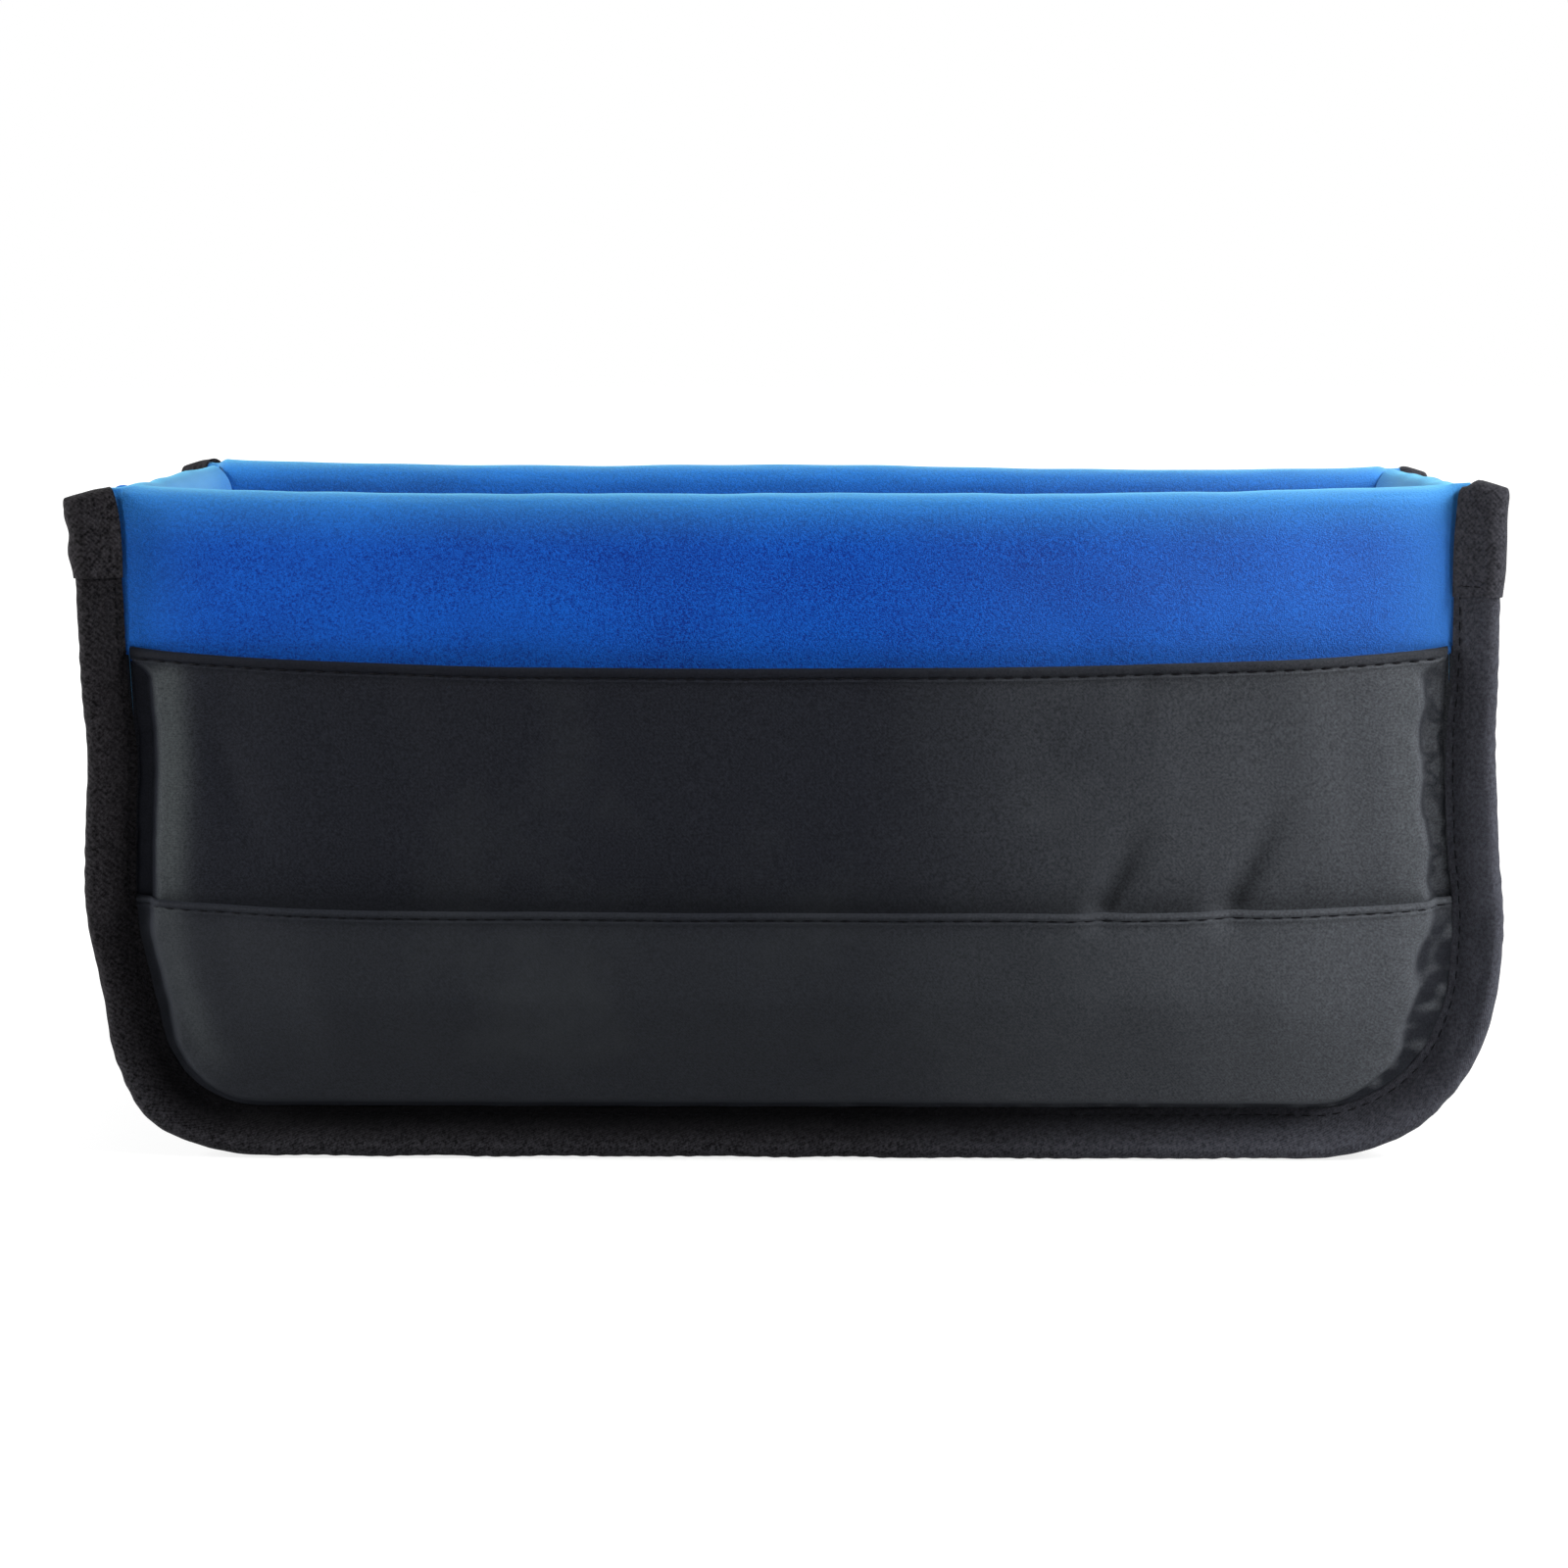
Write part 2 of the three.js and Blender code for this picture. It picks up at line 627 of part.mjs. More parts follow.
// A strip of hook tape folded round one end of a divider
function hookStrip(middleX, end) {
  const foot = dividerFoot + hookMargin;
  const head = dividerTop - hookMargin;
  const middle = (hookInner + hookOuter) / 2;
  const sections = dividerLevels.map((share) => {
    const z = THREE.MathUtils.lerp(foot, head, share);
    const web = dividerHalfLength(z) + layerGap + hookThickness / 2;
    const line = [
      [-middle, web - hookLeg],
      [-middle, web],
      [middle, web],
      [middle, web - hookLeg],
    ];
    return { z, faces: [1, -1].map((face) => offsetLine(line, (face * hookThickness) / 2)) };
  });
  const surface = (face) => (i, j) => {
    const [x, y] = sections[i].faces[face][j];
    return [middleX + x, end * y, sections[i].z];
  };
  return thickSheet(sections.length, 4, surface(0), surface(1));
}

for (const [side, name] of [[-1, 'left'], [1, 'right']]) {
  const at = side * dividerPlace;
  place(`${name}_divider_core`, dividerCore(at), foam);
  place(`${name}_divider_cover`, dividerCover(at), fleece);
  place(`${name}_divider_front_hook_strip`, hookStrip(at, -1), hookTape);
  place(`${name}_divider_rear_hook_strip`, hookStrip(at, 1), hookTape);
}

// The origin is the middle of the whole at the level that it stands on
const extent = new THREE.Box3().setFromObject(pouch);
pouch.position.y = -(extent.min.y + extent.max.y) / 2;

export default pouch;
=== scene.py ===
# A padded camera insert: an open box of blue fleece over foam, skinned with charcoal nylon
# below a fleece band, with two slip pockets in front, bound seams that stand outwards and
# two loose dividers. Shapes are in millimetres and turn into metres when a mesh is made.

import math

import bpy
import numpy as np
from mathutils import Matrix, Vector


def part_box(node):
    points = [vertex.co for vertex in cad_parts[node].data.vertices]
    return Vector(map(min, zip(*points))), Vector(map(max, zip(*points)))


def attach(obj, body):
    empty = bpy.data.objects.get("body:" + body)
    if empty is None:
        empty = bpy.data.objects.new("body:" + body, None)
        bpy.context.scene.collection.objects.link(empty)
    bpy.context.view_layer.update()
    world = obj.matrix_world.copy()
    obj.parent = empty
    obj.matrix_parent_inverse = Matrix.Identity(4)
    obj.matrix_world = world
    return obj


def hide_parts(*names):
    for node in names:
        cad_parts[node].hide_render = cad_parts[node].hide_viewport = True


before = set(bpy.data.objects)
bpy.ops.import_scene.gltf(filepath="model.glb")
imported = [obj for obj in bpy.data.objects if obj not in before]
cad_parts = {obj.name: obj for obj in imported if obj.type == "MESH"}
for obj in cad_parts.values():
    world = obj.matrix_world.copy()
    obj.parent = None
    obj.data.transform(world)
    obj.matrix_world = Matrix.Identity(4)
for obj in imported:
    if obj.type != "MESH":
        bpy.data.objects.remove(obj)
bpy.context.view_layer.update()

# The foam sheets: 6 mm closed-cell foam, die cut, one in each long wall, one in each end
# and one bent under the base between the rounded corners. They lie loose between the
# fleece and the skin and are held by the seams round them.

OVERALL_WIDTH = 280.0
RIM_HEIGHT = 133.0
SEAM_DEPTH = 92.0
CORNER_RADIUS = 27.0
WALL_BULGE = 5.0
BOW_HEIGHT = 80.0
RIM_DIP = 1.3
END_PUFF = 7.0
END_DIP = 1.5
FOAM = 6.0
FLEECE = 1.0
NYLON = 0.8
GAP = 0.3
FLANGE_TILT = math.radians(30)
FLANGE = 0.7
FOAM_ROUNDING = math.radians(80)
FOAM_PITCH = 4.0
CREASED_FROM = math.radians(50)
TAPE = 0.7
TAPE_REACH = 10.4

WALL = 2 * FLEECE + 2 * GAP + FOAM
FOLD_RADIUS = WALL / 2
SEAM_Y = SEAM_DEPTH / 2
FLANGE_MIDDLE = (GAP + FLANGE) / 2
TAPE_MIDDLE = GAP / 2 + FLANGE + GAP + TAPE / 2
CAP_INNER = TAPE_MIDDLE + TAPE / 2 + GAP
CAP_OUTER = CAP_INNER + TAPE
CAP_REACH = TAPE_REACH + GAP + TAPE
CAP_OUT = CAP_REACH * math.cos(FLANGE_TILT) + CAP_OUTER * math.sin(FLANGE_TILT)
SEAM_HALF = OVERALL_WIDTH / 2 - CAP_OUT
STRAIGHT_HALF = SEAM_HALF - CORNER_RADIUS
SEAM_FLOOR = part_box("front_binding")[1].x * 1000 - SEAM_HALF
CORNER_HEIGHT = SEAM_FLOOR + CORNER_RADIUS
BASE_PUFF = SEAM_FLOOR
FLAT_HALF = SEAM_DEPTH / 4
ROOT_HALF = SEAM_Y - NYLON - 2 * GAP
GUSSET_HALF = SEAM_Y - WALL - GAP
FOLD_CENTRE = -NYLON - GAP - FOAM / 2
MIDDLE_Y = 500 * (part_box("front_binding")[0].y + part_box("rear_binding")[1].y)

# How the real one has settled: bumps of (height, spread, move to the right) on each side
# of the outline, how far the rear rim leans down to the right, how far the rims sag over
# which heights, and how far and how wide the middle of the rear one stands up again
LEFT_SETTLE = [(31, 11, 3.0), (5, 8, -3.6), (80, 15, 1.2), (134, 6.5, -1.4)]
RIGHT_SETTLE = [(46, 16, 1.9), (16, 12, 1.0), (4, 6, 1.6), (86, 10, -0.4), (133, 7, 0.7)]
SETTLE_FROM = 60.0
REAR_LEAN = 1.0
RIM_SAG = 0.6
SAG_FROM = 70.0
SAG_OVER = 60.0
REAR_HUMP = 0.8
HUMP_WIDTH = 42.0


def smooth(t):
    """0 below 0, 1 above 1 and 3t² - 2t³ between them."""
    t = np.clip(t, 0, 1)
    return t * t * (3 - 2 * t)


def bell_curves(z, rows):
    """The sum of bell curves of height, each from a row of its place, spread and size."""
    return sum(move * np.exp(-(((z - at) / wide) ** 2)) for at, wide, move in rows)


def settle(p):
    """Points moved to where the used pouch has settled: sideways by a sum of bell curves of
    height, fading out towards the middle, the rear rim down to the right, and both rims down
    between the seams as 1 - u²⁴, the rear one half as far and humped in its middle."""
    x, y, z = p[..., 0], p[..., 1], p[..., 2]
    fade = smooth((np.abs(x) - SETTLE_FROM) / (SEAM_HALF - SETTLE_FROM))
    side = np.where(x < 0, bell_curves(z, LEFT_SETTLE), bell_curves(z, RIGHT_SETTLE)) * fade
    rear = smooth(y / SEAM_Y)
    lean = -REAR_LEAN * x / SEAM_HALF * rear * smooth(z / RIM_HEIGHT)
    across = np.clip(np.abs(x) / SEAM_HALF, 0, 1)
    hump = REAR_HUMP * rear * np.exp(-((x / HUMP_WIDTH) ** 2))
    sag = RIM_SAG * (1 - 0.5 * rear) * (1 - across**24) - hump
    return np.stack([x + side, y, z + lean - sag * smooth((z - SAG_FROM) / SAG_OVER)], -1)


def seam_height(x):
    """Height of the seam's arc above the ground at x: the circle's height past the straight."""
    past = np.clip(np.abs(x) - STRAIGHT_HALF, 0, CORNER_RADIUS)
    return CORNER_HEIGHT - np.sqrt(CORNER_RADIUS**2 - past**2)


def bulge(x, z):
    """How far a long wall bows out: most in its middle, as 1 - u⁴ across and 1 - (1 - v)² up."""
    rise = np.clip((z - seam_height(x)) / BOW_HEIGHT, 0, 1)
    return WALL_BULGE * (1 - (np.abs(x) / SEAM_HALF) ** 4) * (1 - (1 - rise) ** 2)


def roundness(y):
    """Across the depth the gusset is flat in its middle, then falls as a quarter ellipse."""
    t = np.clip((np.abs(y) - FLAT_HALF) / (ROOT_HALF - FLAT_HALF), 0, 1)
    return np.sqrt(1 - t * t)


def rim_crest(x):
    """Height of a long wall's rim: lowest in its middle, as 1 - u⁴."""
    return RIM_HEIGHT - RIM_DIP * (1 - (np.abs(x) / SEAM_HALF) ** 4)


def end_rim(y):
    """Height of the middle of an end's folded rim: lowest halfway across, as 1 - v⁶."""
    return RIM_HEIGHT - END_DIP * (1 - (y / ROOT_HALF) ** 6) - FOLD_RADIUS


def seam_path(count, top):
    """Evenly spaced stations down the left seam, round the corners and up to the right top:
    place, the unit vector outwards and the distance gone. It is straight, a quarter circle,
    straight, a quarter circle and straight."""
    side, arc, base = top - CORNER_HEIGHT, math.pi / 2 * CORNER_RADIUS, 2 * STRAIGHT_HALF
    gone = np.linspace(0, 2 * (side + arc) + base, count)
    down = np.clip(gone, 0, side)
    first = np.clip(gone - side, 0, arc) / CORNER_RADIUS
    along = np.clip(gone - side - arc, 0, base)
    second = np.clip(gone - side - arc - base, 0, arc) / CORNER_RADIUS
    up = np.clip(gone - side - 2 * arc - base, 0, side)
    x = -STRAIGHT_HALF - CORNER_RADIUS * (np.cos(first) - np.sin(second)) + along
    turned = np.sin(first) - 1 + np.cos(second)
    z = CORNER_HEIGHT + side - down - CORNER_RADIUS * turned + up
    turn = first + second
    return x, z, -np.cos(turn), -np.sin(turn), gone


def puff(nz):
    """How far the gusset stands out past its seams: END_PUFF at an end, BASE_PUFF below."""
    return END_PUFF + (BASE_PUFF - END_PUFF) * nz**2


def ripple(u, v, wave, seed, count=9):
    """An uneven surface from -1 to 1 or so: the sum of some sine waves of about one wavelength,
    each with its own direction and phase from the seed, times half the root of 2 / count."""
    draw = np.random.default_rng(seed)
    turn, phase = draw.uniform(0, 2 * math.pi, (2, count))
    length = wave * draw.uniform(0.7, 1.5, count)
    total = 0
    for a, b, k in zip(turn, phase, 2 * math.pi / length):
        total = total + np.sin(k * (u * math.cos(a) + v * math.sin(a)) + b)
    return total * math.sqrt(2 / count) / 2


def point_grid(x, y, z):
    """A grid of points from three arrays that are spread to one shape."""
    return np.stack(np.broadcast_arrays(x, y, z), -1)


def rise_then_turn(steps, turns, last):
    """The columns of a straight rise with a rounding over its top: shares from 0 to 1 and then
    ones, and beside them zeros and then the angles up to the last one."""
    share = np.concatenate([np.linspace(0, 1, steps), np.ones(turns)])
    angle = np.concatenate([np.zeros(steps), np.linspace(0, last, turns + 1)[1:]])
    return share, angle


def grid_cells(rows, columns, first=0):
    """The four corner numbers of each cell of a grid of points."""
    start = first + np.arange(rows - 1)[:, None] * columns + np.arange(columns - 1)
    return np.stack([start, start + 1, start + columns + 1, start + columns], -1).reshape(-1, 4)


def lengths(points, axis):
    """Distance gone along one axis of a grid of points."""
    step = np.linalg.norm(np.diff(points, axis=axis), axis=-1)
    pad = [(1, 0) if k == axis else (0, 0) for k in range(2)]
    return np.cumsum(np.pad(step, pad), axis=axis)


def closed_sheet(face, back):
    """A closed sheet between two grids of points, with a strip of cells round the edges, and
    its lay: how far along and across the cloth each point lies, in millimetres."""
    rows, columns, _ = face.shape
    number = np.arange(rows * columns).reshape(rows, columns)
    loop = np.concatenate([number[0], number[1:, -1], number[-1, -2::-1], number[-2:0:-1, 0]])
    after, count = np.roll(loop, -1), rows * columns
    edge = np.stack([loop, loop + count, after + count, after], -1)
    cells = [grid_cells(rows, columns), grid_cells(rows, columns, count)[:, ::-1], edge]
    lay = np.stack([lengths(face, 1), lengths(face, 0), np.zeros((rows, columns))], -1)
    points = np.concatenate([face.reshape(-1, 3), back.reshape(-1, 3)])
    return points, np.concatenate(cells), np.tile(lay.reshape(-1, 3), (2, 1))


def outward(points, cells):
    """The same cells, turned over if the volume that they enclose comes out negative."""
    a, b, c, d = (points[cells[:, k]] for k in range(4))
    volume = (a * (np.cross(b, c) + np.cross(c, d))).sum()
    return cells[:, ::-1] if volume < 0 else cells


def make_piece(name, parts, material, slot, body="shell", stands_for=None, loose=False):
    """A mesh from closed parts, in metres, riding on its body in place of its CAD node. Loose
    pieces, the dividers, don't settle with the shell."""
    points, cells, lays, first = [], [], [], 0
    for part_points, part_cells, part_lay in parts:
        cells.append(outward(part_points, part_cells) + first)
        points.append(part_points if loose else settle(part_points))
        lays.append(part_lay)
        first += len(part_points)
    points = (np.concatenate(points) + [0, MIDDLE_Y, 0]) * 0.001
    cells = np.concatenate(cells)
    mesh = bpy.data.meshes.new(name)
    mesh.vertices.add(len(points))
    mesh.vertices.foreach_set("co", points.astype(np.float32).ravel())
    mesh.loops.add(cells.size)
    mesh.loops.foreach_set("vertex_index", cells.astype(np.int32).ravel())
    mesh.polygons.add(len(cells))
    mesh.polygons.foreach_set("loop_start", np.arange(0, cells.size, 4, dtype=np.int32))
    mesh.update(calc_edges=True)
    mesh.polygons.foreach_set("use_smooth", np.ones(len(cells), bool))
    lay = mesh.attributes.new("lay", "FLOAT_VECTOR", "POINT")
    lay.data.foreach_set("vector", np.concatenate(lays).astype(np.float32).ravel())
    mesh.set_sharp_from_angle(angle=CREASED_FROM)
    mesh.materials.append(material)
    piece = bpy.data.objects.new(name, mesh)
    bpy.context.scene.collection.objects.link(piece)
    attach(piece, body)
    if stands_for:
        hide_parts(stands_for)
    return piece


class Thread:
    """One output socket of a material's nodes. Sums, differences, products and powers of
    threads and numbers add the Math nodes that work them out."""

    def __init__(self, tree, socket=None):
        self.tree = tree
        self.socket = socket

    def node(self, kind, settings, inputs, output=0):
        """A node of any kind, its settings first, then its sockets' values or links."""
        made = self.tree.nodes.new("ShaderNode" + kind)
        for name, value in settings.items():
            setattr(made, name, value)
        for name, value in inputs.items():
            if isinstance(value, Thread):
                self.tree.links.new(value.socket, made.inputs[name])
            else:
                made.inputs[name].default_value = value
        return Thread(self.tree, made.outputs[output] if made.outputs else None)

    def also(self, name):
        """Another output of the same node."""
        return Thread(self.tree, self.socket.node.outputs[name])

    def split(self):
        """The first of the three numbers of a place: also("Y") and also("Z") give the others."""
        return self.node("SeparateXYZ", {}, {"Vector": self})

    def math(self, operation, *values):
        """What a Math node makes of threads and numbers."""
        return self.node("Math", {"operation": operation}, dict(enumerate(values)))

    def __add__(self, other):
        return self.math("ADD", self, other)

    def __sub__(self, other):
        return self.math("SUBTRACT", self, other)

    def __rsub__(self, other):
        return self.math("SUBTRACT", other, self)

    def __mul__(self, other):
        return self.math("MULTIPLY", self, other)

    def __pow__(self, other):
        return self.math("POWER", self, other)

    __radd__ = __add__
    __rmul__ = __mul__


def linear(red, green, blue):
    """A colour given as sRGB bytes, as Blender's linear numbers."""
    value = np.array([red, green, blue]) / 255
    return (*np.where(value <= 0.04045, value / 12.92, ((value + 0.055) / 1.055) ** 2.4), 1.0)


def mixed(amount, low, high):
    """The colour low where amount is 0 and high where it is 1."""
    return amount.node("Mix", {"data_type": "RGBA"}, {0: amount, 6: low, 7: high}, output=2)


def noise(wires, place, scale, detail=2.0, roughness=0.5):
    """Soft noise from 0 to 1 with about scale blobs to the unit of place."""
    inputs = {"Vector": place, "Scale": scale, "Detail": detail, "Roughness": roughness}
    return wires.node("TexNoise", {}, inputs)


def ramp(value, low, high):
    """0 below low, 1 above high and straight between them."""
    inputs = {"Value": value, "From Min": low, "From Max": high}
    return value.node("MapRange", {}, inputs)


def make_material(name, constants, build):
    """A material on one Principled shader: constants go on its own sockets, and build returns
    what changes over the surface, with a height in metres that becomes its bump."""
    material = bpy.data.materials.new(name)
    material.use_nodes = True
    tree = material.node_tree
    shader = next(n for n in tree.nodes if n.type == "BSDF_PRINCIPLED")
    for socket, value in constants.items():
        shader.inputs[socket].default_value = value
    wires = Thread(tree)
    varied, height = build(wires)
    bump = wires.node("Bump", {}, {"Height": height, "Distance": 1.0, "Strength": 1.0})
    tree.links.new(bump.socket, shader.inputs["Normal"])
    for socket, value in varied.items():
        tree.links.new(value.socket, shader.inputs[socket])
    return material


def object_place(wires):
    """Where a point lies on the object, in metres."""
    return wires.node("TexCoord", {}, {}, output=3)


def lay_place(wires):
    """How far along and across the cloth, in millimetres."""
    return wires.node("Attribute", {"attribute_name": "lay"}, {}, output=1)


FOAM_DARK = linear(92, 94, 100)
FOAM_LIGHT = linear(122, 124, 130)
FOAM_CELL = 0.625
FOAM_WALLS = (0.1, 0.6)
FOAM_RELIEF = 0.00012


def foam_surface(wires):
    """Cells FOAM_CELL wide: dark in their middles and lighter along their walls."""
    inputs = {"Vector": object_place(wires), "Scale": 1000 / FOAM_CELL}
    walls = ramp(wires.node("TexVoronoi", {}, inputs), *FOAM_WALLS)
    return {"Base Color": mixed(walls, FOAM_DARK, FOAM_LIGHT)}, walls * FOAM_RELIEF


foam_material = make_material("foam", {"Roughness": 0.9}, foam_surface)

FOAM_INSET = FLEECE + GAP / 2 + GAP


def wall_columns(inset, pitch):
    """Where a wall's columns stand and the height at which each starts: even steps of angle
    round each lower corner's arc, and even steps along the straight."""
    radius = CORNER_RADIUS - inset
    turns = np.linspace(0, math.pi / 2, int(radius * 1.6 / pitch) + 2)[:-1]
    corner_x = STRAIGHT_HALF + radius * np.cos(turns)
    corner_z = CORNER_HEIGHT - radius * np.sin(turns)
    flat = np.linspace(-STRAIGHT_HALF, STRAIGHT_HALF, int(2 * STRAIGHT_HALF / pitch) + 1)
    x = np.concatenate([-corner_x, flat, corner_x[::-1]])
    z = np.concatenate([corner_z, np.full(len(flat), SEAM_FLOOR + inset), corner_z[::-1]])
    return x, z


def wall_foam(end):
    """A slab that follows the wall's bow, with its top rounded over by FOAM_ROUNDING on each
    face, nearly a half circle."""
    x, base = (values[:, None] for values in wall_columns(FOAM_INSET, FOAM_PITCH))
    fold = rim_crest(x) - FOLD_RADIUS
    share, angle = rise_then_turn(30, 6, FOAM_ROUNDING)
    z = base + (fold - base) * share + FOAM / 2 * np.sin(angle)
    faces = []
    for side in (1, -1):
        y = SEAM_Y - FOLD_RADIUS + bulge(x, z) + side * FOAM / 2 * np.cos(angle)
        faces.append(point_grid(x, end * y, z))
    return closed_sheet(*faces)


def end_foam(side):
    """A slab bowed out across the depth, with a rounded top."""
    y = np.linspace(-GUSSET_HALF, GUSSET_HALF, 40)[:, None]
    share, angle = rise_then_turn(24, 6, FOAM_ROUNDING)
    foot = CORNER_HEIGHT + GAP
    z = foot + (end_rim(y) - foot) * share + FOAM / 2 * np.sin(angle)
    faces = []
    for face in (1, -1):
        x = SEAM_HALF + END_PUFF * roundness(y) + FOLD_CENTRE + face * FOAM / 2 * np.cos(angle)
        faces.append(point_grid(side * x, y, z))
    return closed_sheet(*faces)


def base_foam():
    """A slab from one corner's arc to the other's, sagging between the two seams."""
    x, z, nx, nz, _ = (values[:, None] for values in seam_path(240, CORNER_HEIGHT))
    y = np.linspace(-GUSSET_HALF, GUSSET_HALF, 40)
    faces = []
    for face in (1, -1):
        out = puff(nz) * roundness(y) + FOLD_CENTRE + face * FOAM / 2
        faces.append(point_grid(x + nx * out, y, z + nz * out))
    return closed_sheet(*faces)


foams = {
    "front_foam": wall_foam(-1),
    "rear_foam": wall_foam(1),
    "left_end_foam": end_foam(-1),
    "base_foam": base_foam(),
    "right_end_foam": end_foam(1),
}
for foam_node, foam_part in foams.items():
    pad_name = foam_node.replace("foam", "pad")
    pad = make_piece(pad_name, [foam_part], foam_material, "foam", stands_for=foam_node)

# The fleece of the two long walls: one piece each of brushed polyester fleece, folded over
# the foam so that it shows in front, over the rim and inside, with its edges caught in the
# seam. Its nap makes it mottled and soft at the rim.

FLEECE_DEEP = linear(0, 36, 128)
FLEECE_BRIGHT = linear(6, 91, 198)
# The next four colours are painted light: a highlight along the rims, light at the right end, a sheen
# seen at a grazing angle, and light beside the tape
FLEECE_RIM_HIGHLIGHT = linear(76, 170, 232)
FLEECE_RIGHT_LIGHT = linear(100, 146, 200)
FLEECE_GRAZING_SHEEN = linear(150, 208, 235)
FLEECE_BESIDE_TAPE_LIGHT = linear(50, 126, 222)
FLEECE_SHEEN = linear(96, 203, 235)
BAND_PILLOW = 0.55
BAND_REACH = 1.3
EDGE_PILLOW = 1.9
EDGE_PLUMP = 0.8
PLUMP_FROM = 96.0
PLUMP_OVER = 60.0
BOW_EASE = 0.36
RIDGE = 0.6
RIDGE_PLACE = 8.0
RIDGE_WIDTH = 3.6
RIDGE_RIGHT = 0.25
RIDGE_FROM = 106.0
RIDGE_STEP = 12.0
VALLEY = 0.3
VALLEY_FOOT = 0.7
FOOT_PLUMP = 1.3
VALLEY_LEFT = 3.1
VALLEY_RIGHT = 3.8
SCALLOP = 0.42
SCALLOP_LENGTH = 11.0
SCALLOP_SEED = 31
HOLLOW_FROM = 107.0
HOLLOW_STEP = 11.0
FOOT_FROM = 24.0
FOOT_STEP = 14.0
BAND_LIMIT = 100.5
BAND_STEP = 5.0
LOWER_COVER = 54.0
COVER_STEP = 10.0
ROLL = 1.4
ROLL_LEFT = 1.8
ROLL_RIGHT = 1.4
HEM_EDGE = 101.5
HEM_SAG = 3.2
FLEECE_PITCH = 1.3
PANEL_INSET = 0.4
TUCKED_COLUMNS = np.array([3.0, 1.8, 0.8, 0.1])
TUCKED_BELOW = 1.3
HELD_FROM = 2.5
HELD_STEP = 3.0
END_ROUND = 4.5
BAND_OVERLAP = 5.0
BAND_RUN = 32.0
INSIDE_RUN = 90.0
FOLD_STEPS = 17
PINCHED = 1.6
FLEECE_FLANGE = (0.42, 0.5)
FLANGE_START = -0.9
FLANGE_REACH = 8.9
FLANGE_STEP = 0.8

# How far the caps hold a wall's rim down at its left and at its right end
END_TUCK = {-1: (0.8, 0.0), 1: (1.3, 0.8)}

# Where the painted light and highlights change, in metres: across the pouch, in depth and in height
RIGHT_LIGHT_ACROSS = (0.014, 0.104)
RIM_HIGHLIGHT_ACROSS = (-0.12, -0.03)
RIM_HIGHLIGHT_DEPTH = (-0.04, 0.0)
BESIDE_TAPE_LIGHT_FROM = (0.106, 0.127)
BESIDE_TAPE_LIGHT_TO = (0.129, 0.131)
BAND_FOOT_LIGHT = (0.1, 0.115)
RIM_HIGHLIGHT_BAND = (0.12, 0.134)

# How many blobs of noise come to the metre, and which of its range the colours span
BLOTCHES = 45.0
FLEECE_TUFTS = 1800.0
FLEECE_FIBRES = 4200.0
FLEECE_PATCHES = 34.0
FLEECE_TONES = (0.455, 0.665)


def right_end_painted_light(wires, place):
    """Painted light from the right: 0 left of the middle and 1 at the right end, in uneven
    blotches between them."""
    blotches = noise(wires, place, BLOTCHES, 3.0) * 0.5 - 0.25
    across = ramp(place.split(), *RIGHT_LIGHT_ACROSS)
    return ramp(across + across * (1 - across) * blotches * 4, 0.0, 1.0)


def fleece_surface(wires):
    """Brushed nap: tufts of 1 to 2 mm, deep between them and paler at their tips, over soft
    patches of a few centimetres, with fine fibres across it all. Painted light makes it brighter
    beside the tape, most at the right, and paler at the foot of the band and at the right end.
    A painted highlight pales it along the rims, most on the front one away from its left end,
    and a painted sheen pales it where the surface is seen at a grazing angle."""
    place = object_place(wires)
    tufts = noise(wires, place, FLEECE_TUFTS, 2.0, 0.65)
    fibres = noise(wires, place, FLEECE_FIBRES, 1.0, 0.7)
    patches = noise(wires, place, FLEECE_PATCHES, 2.0)
    apart = place.split()
    height = apart.also("Z")
    # Painted light: the band is paler at its foot
    foot = (1 - ramp(height, *BAND_FOOT_LIGHT)) * 0.045
    front_rim_highlight = (1 - ramp(apart.also("Y"), *RIM_HIGHLIGHT_DEPTH)) * ramp(apart, *RIM_HIGHLIGHT_ACROSS)
    aside = apart.math("ABSOLUTE", apart)
    ends = ramp(aside, *BESIDE_TAPE_LIGHT_FROM) ** 2.2 * (1 - ramp(aside, *BESIDE_TAPE_LIGHT_TO))
    right_end_light = right_end_painted_light(wires, place)
    tone = ramp(tufts * 0.42 + fibres * 0.5 + patches * 0.18 + foot, *FLEECE_TONES)
    colour = mixed(tone, FLEECE_DEEP, FLEECE_BRIGHT)
    # Painted light beside the tape, stronger at the right end
    colour = mixed(ends * (right_end_light * 0.35 + 0.4), colour, FLEECE_BESIDE_TAPE_LIGHT)
    # Painted highlight along the rims, most on the front one away from its left end
    rim = ramp(height, *RIM_HIGHLIGHT_BAND)
    colour = mixed(rim ** 1.6 * 0.46 + rim**3 * front_rim_highlight * 0.3, colour, FLEECE_RIM_HIGHLIGHT)
    # Painted light at the right end
    colour = mixed(right_end_light * 0.15, colour, FLEECE_RIGHT_LIGHT)
    # Painted sheen: paler where the surface is seen at a grazing angle
    grazing = wires.node("LayerWeight", {}, {"Blend": 0.4}, output=1)
    colour = mixed(ramp(grazing, 0.12, 1.0) ** 1.4 * 0.6, colour, FLEECE_GRAZING_SHEEN)
    return {"Base Color": colour}, tufts * 0.0002 + fibres * 0.00015


fleece_constants = {
    "Roughness": 0.95,
    "Specular IOR Level": 0.2,
    "Sheen Weight": 0.6,
    "Sheen Roughness": 0.45,
    "Sheen Tint": FLEECE_SHEEN,
}
fleece_material = make_material("fleece", fleece_constants, fleece_surface)


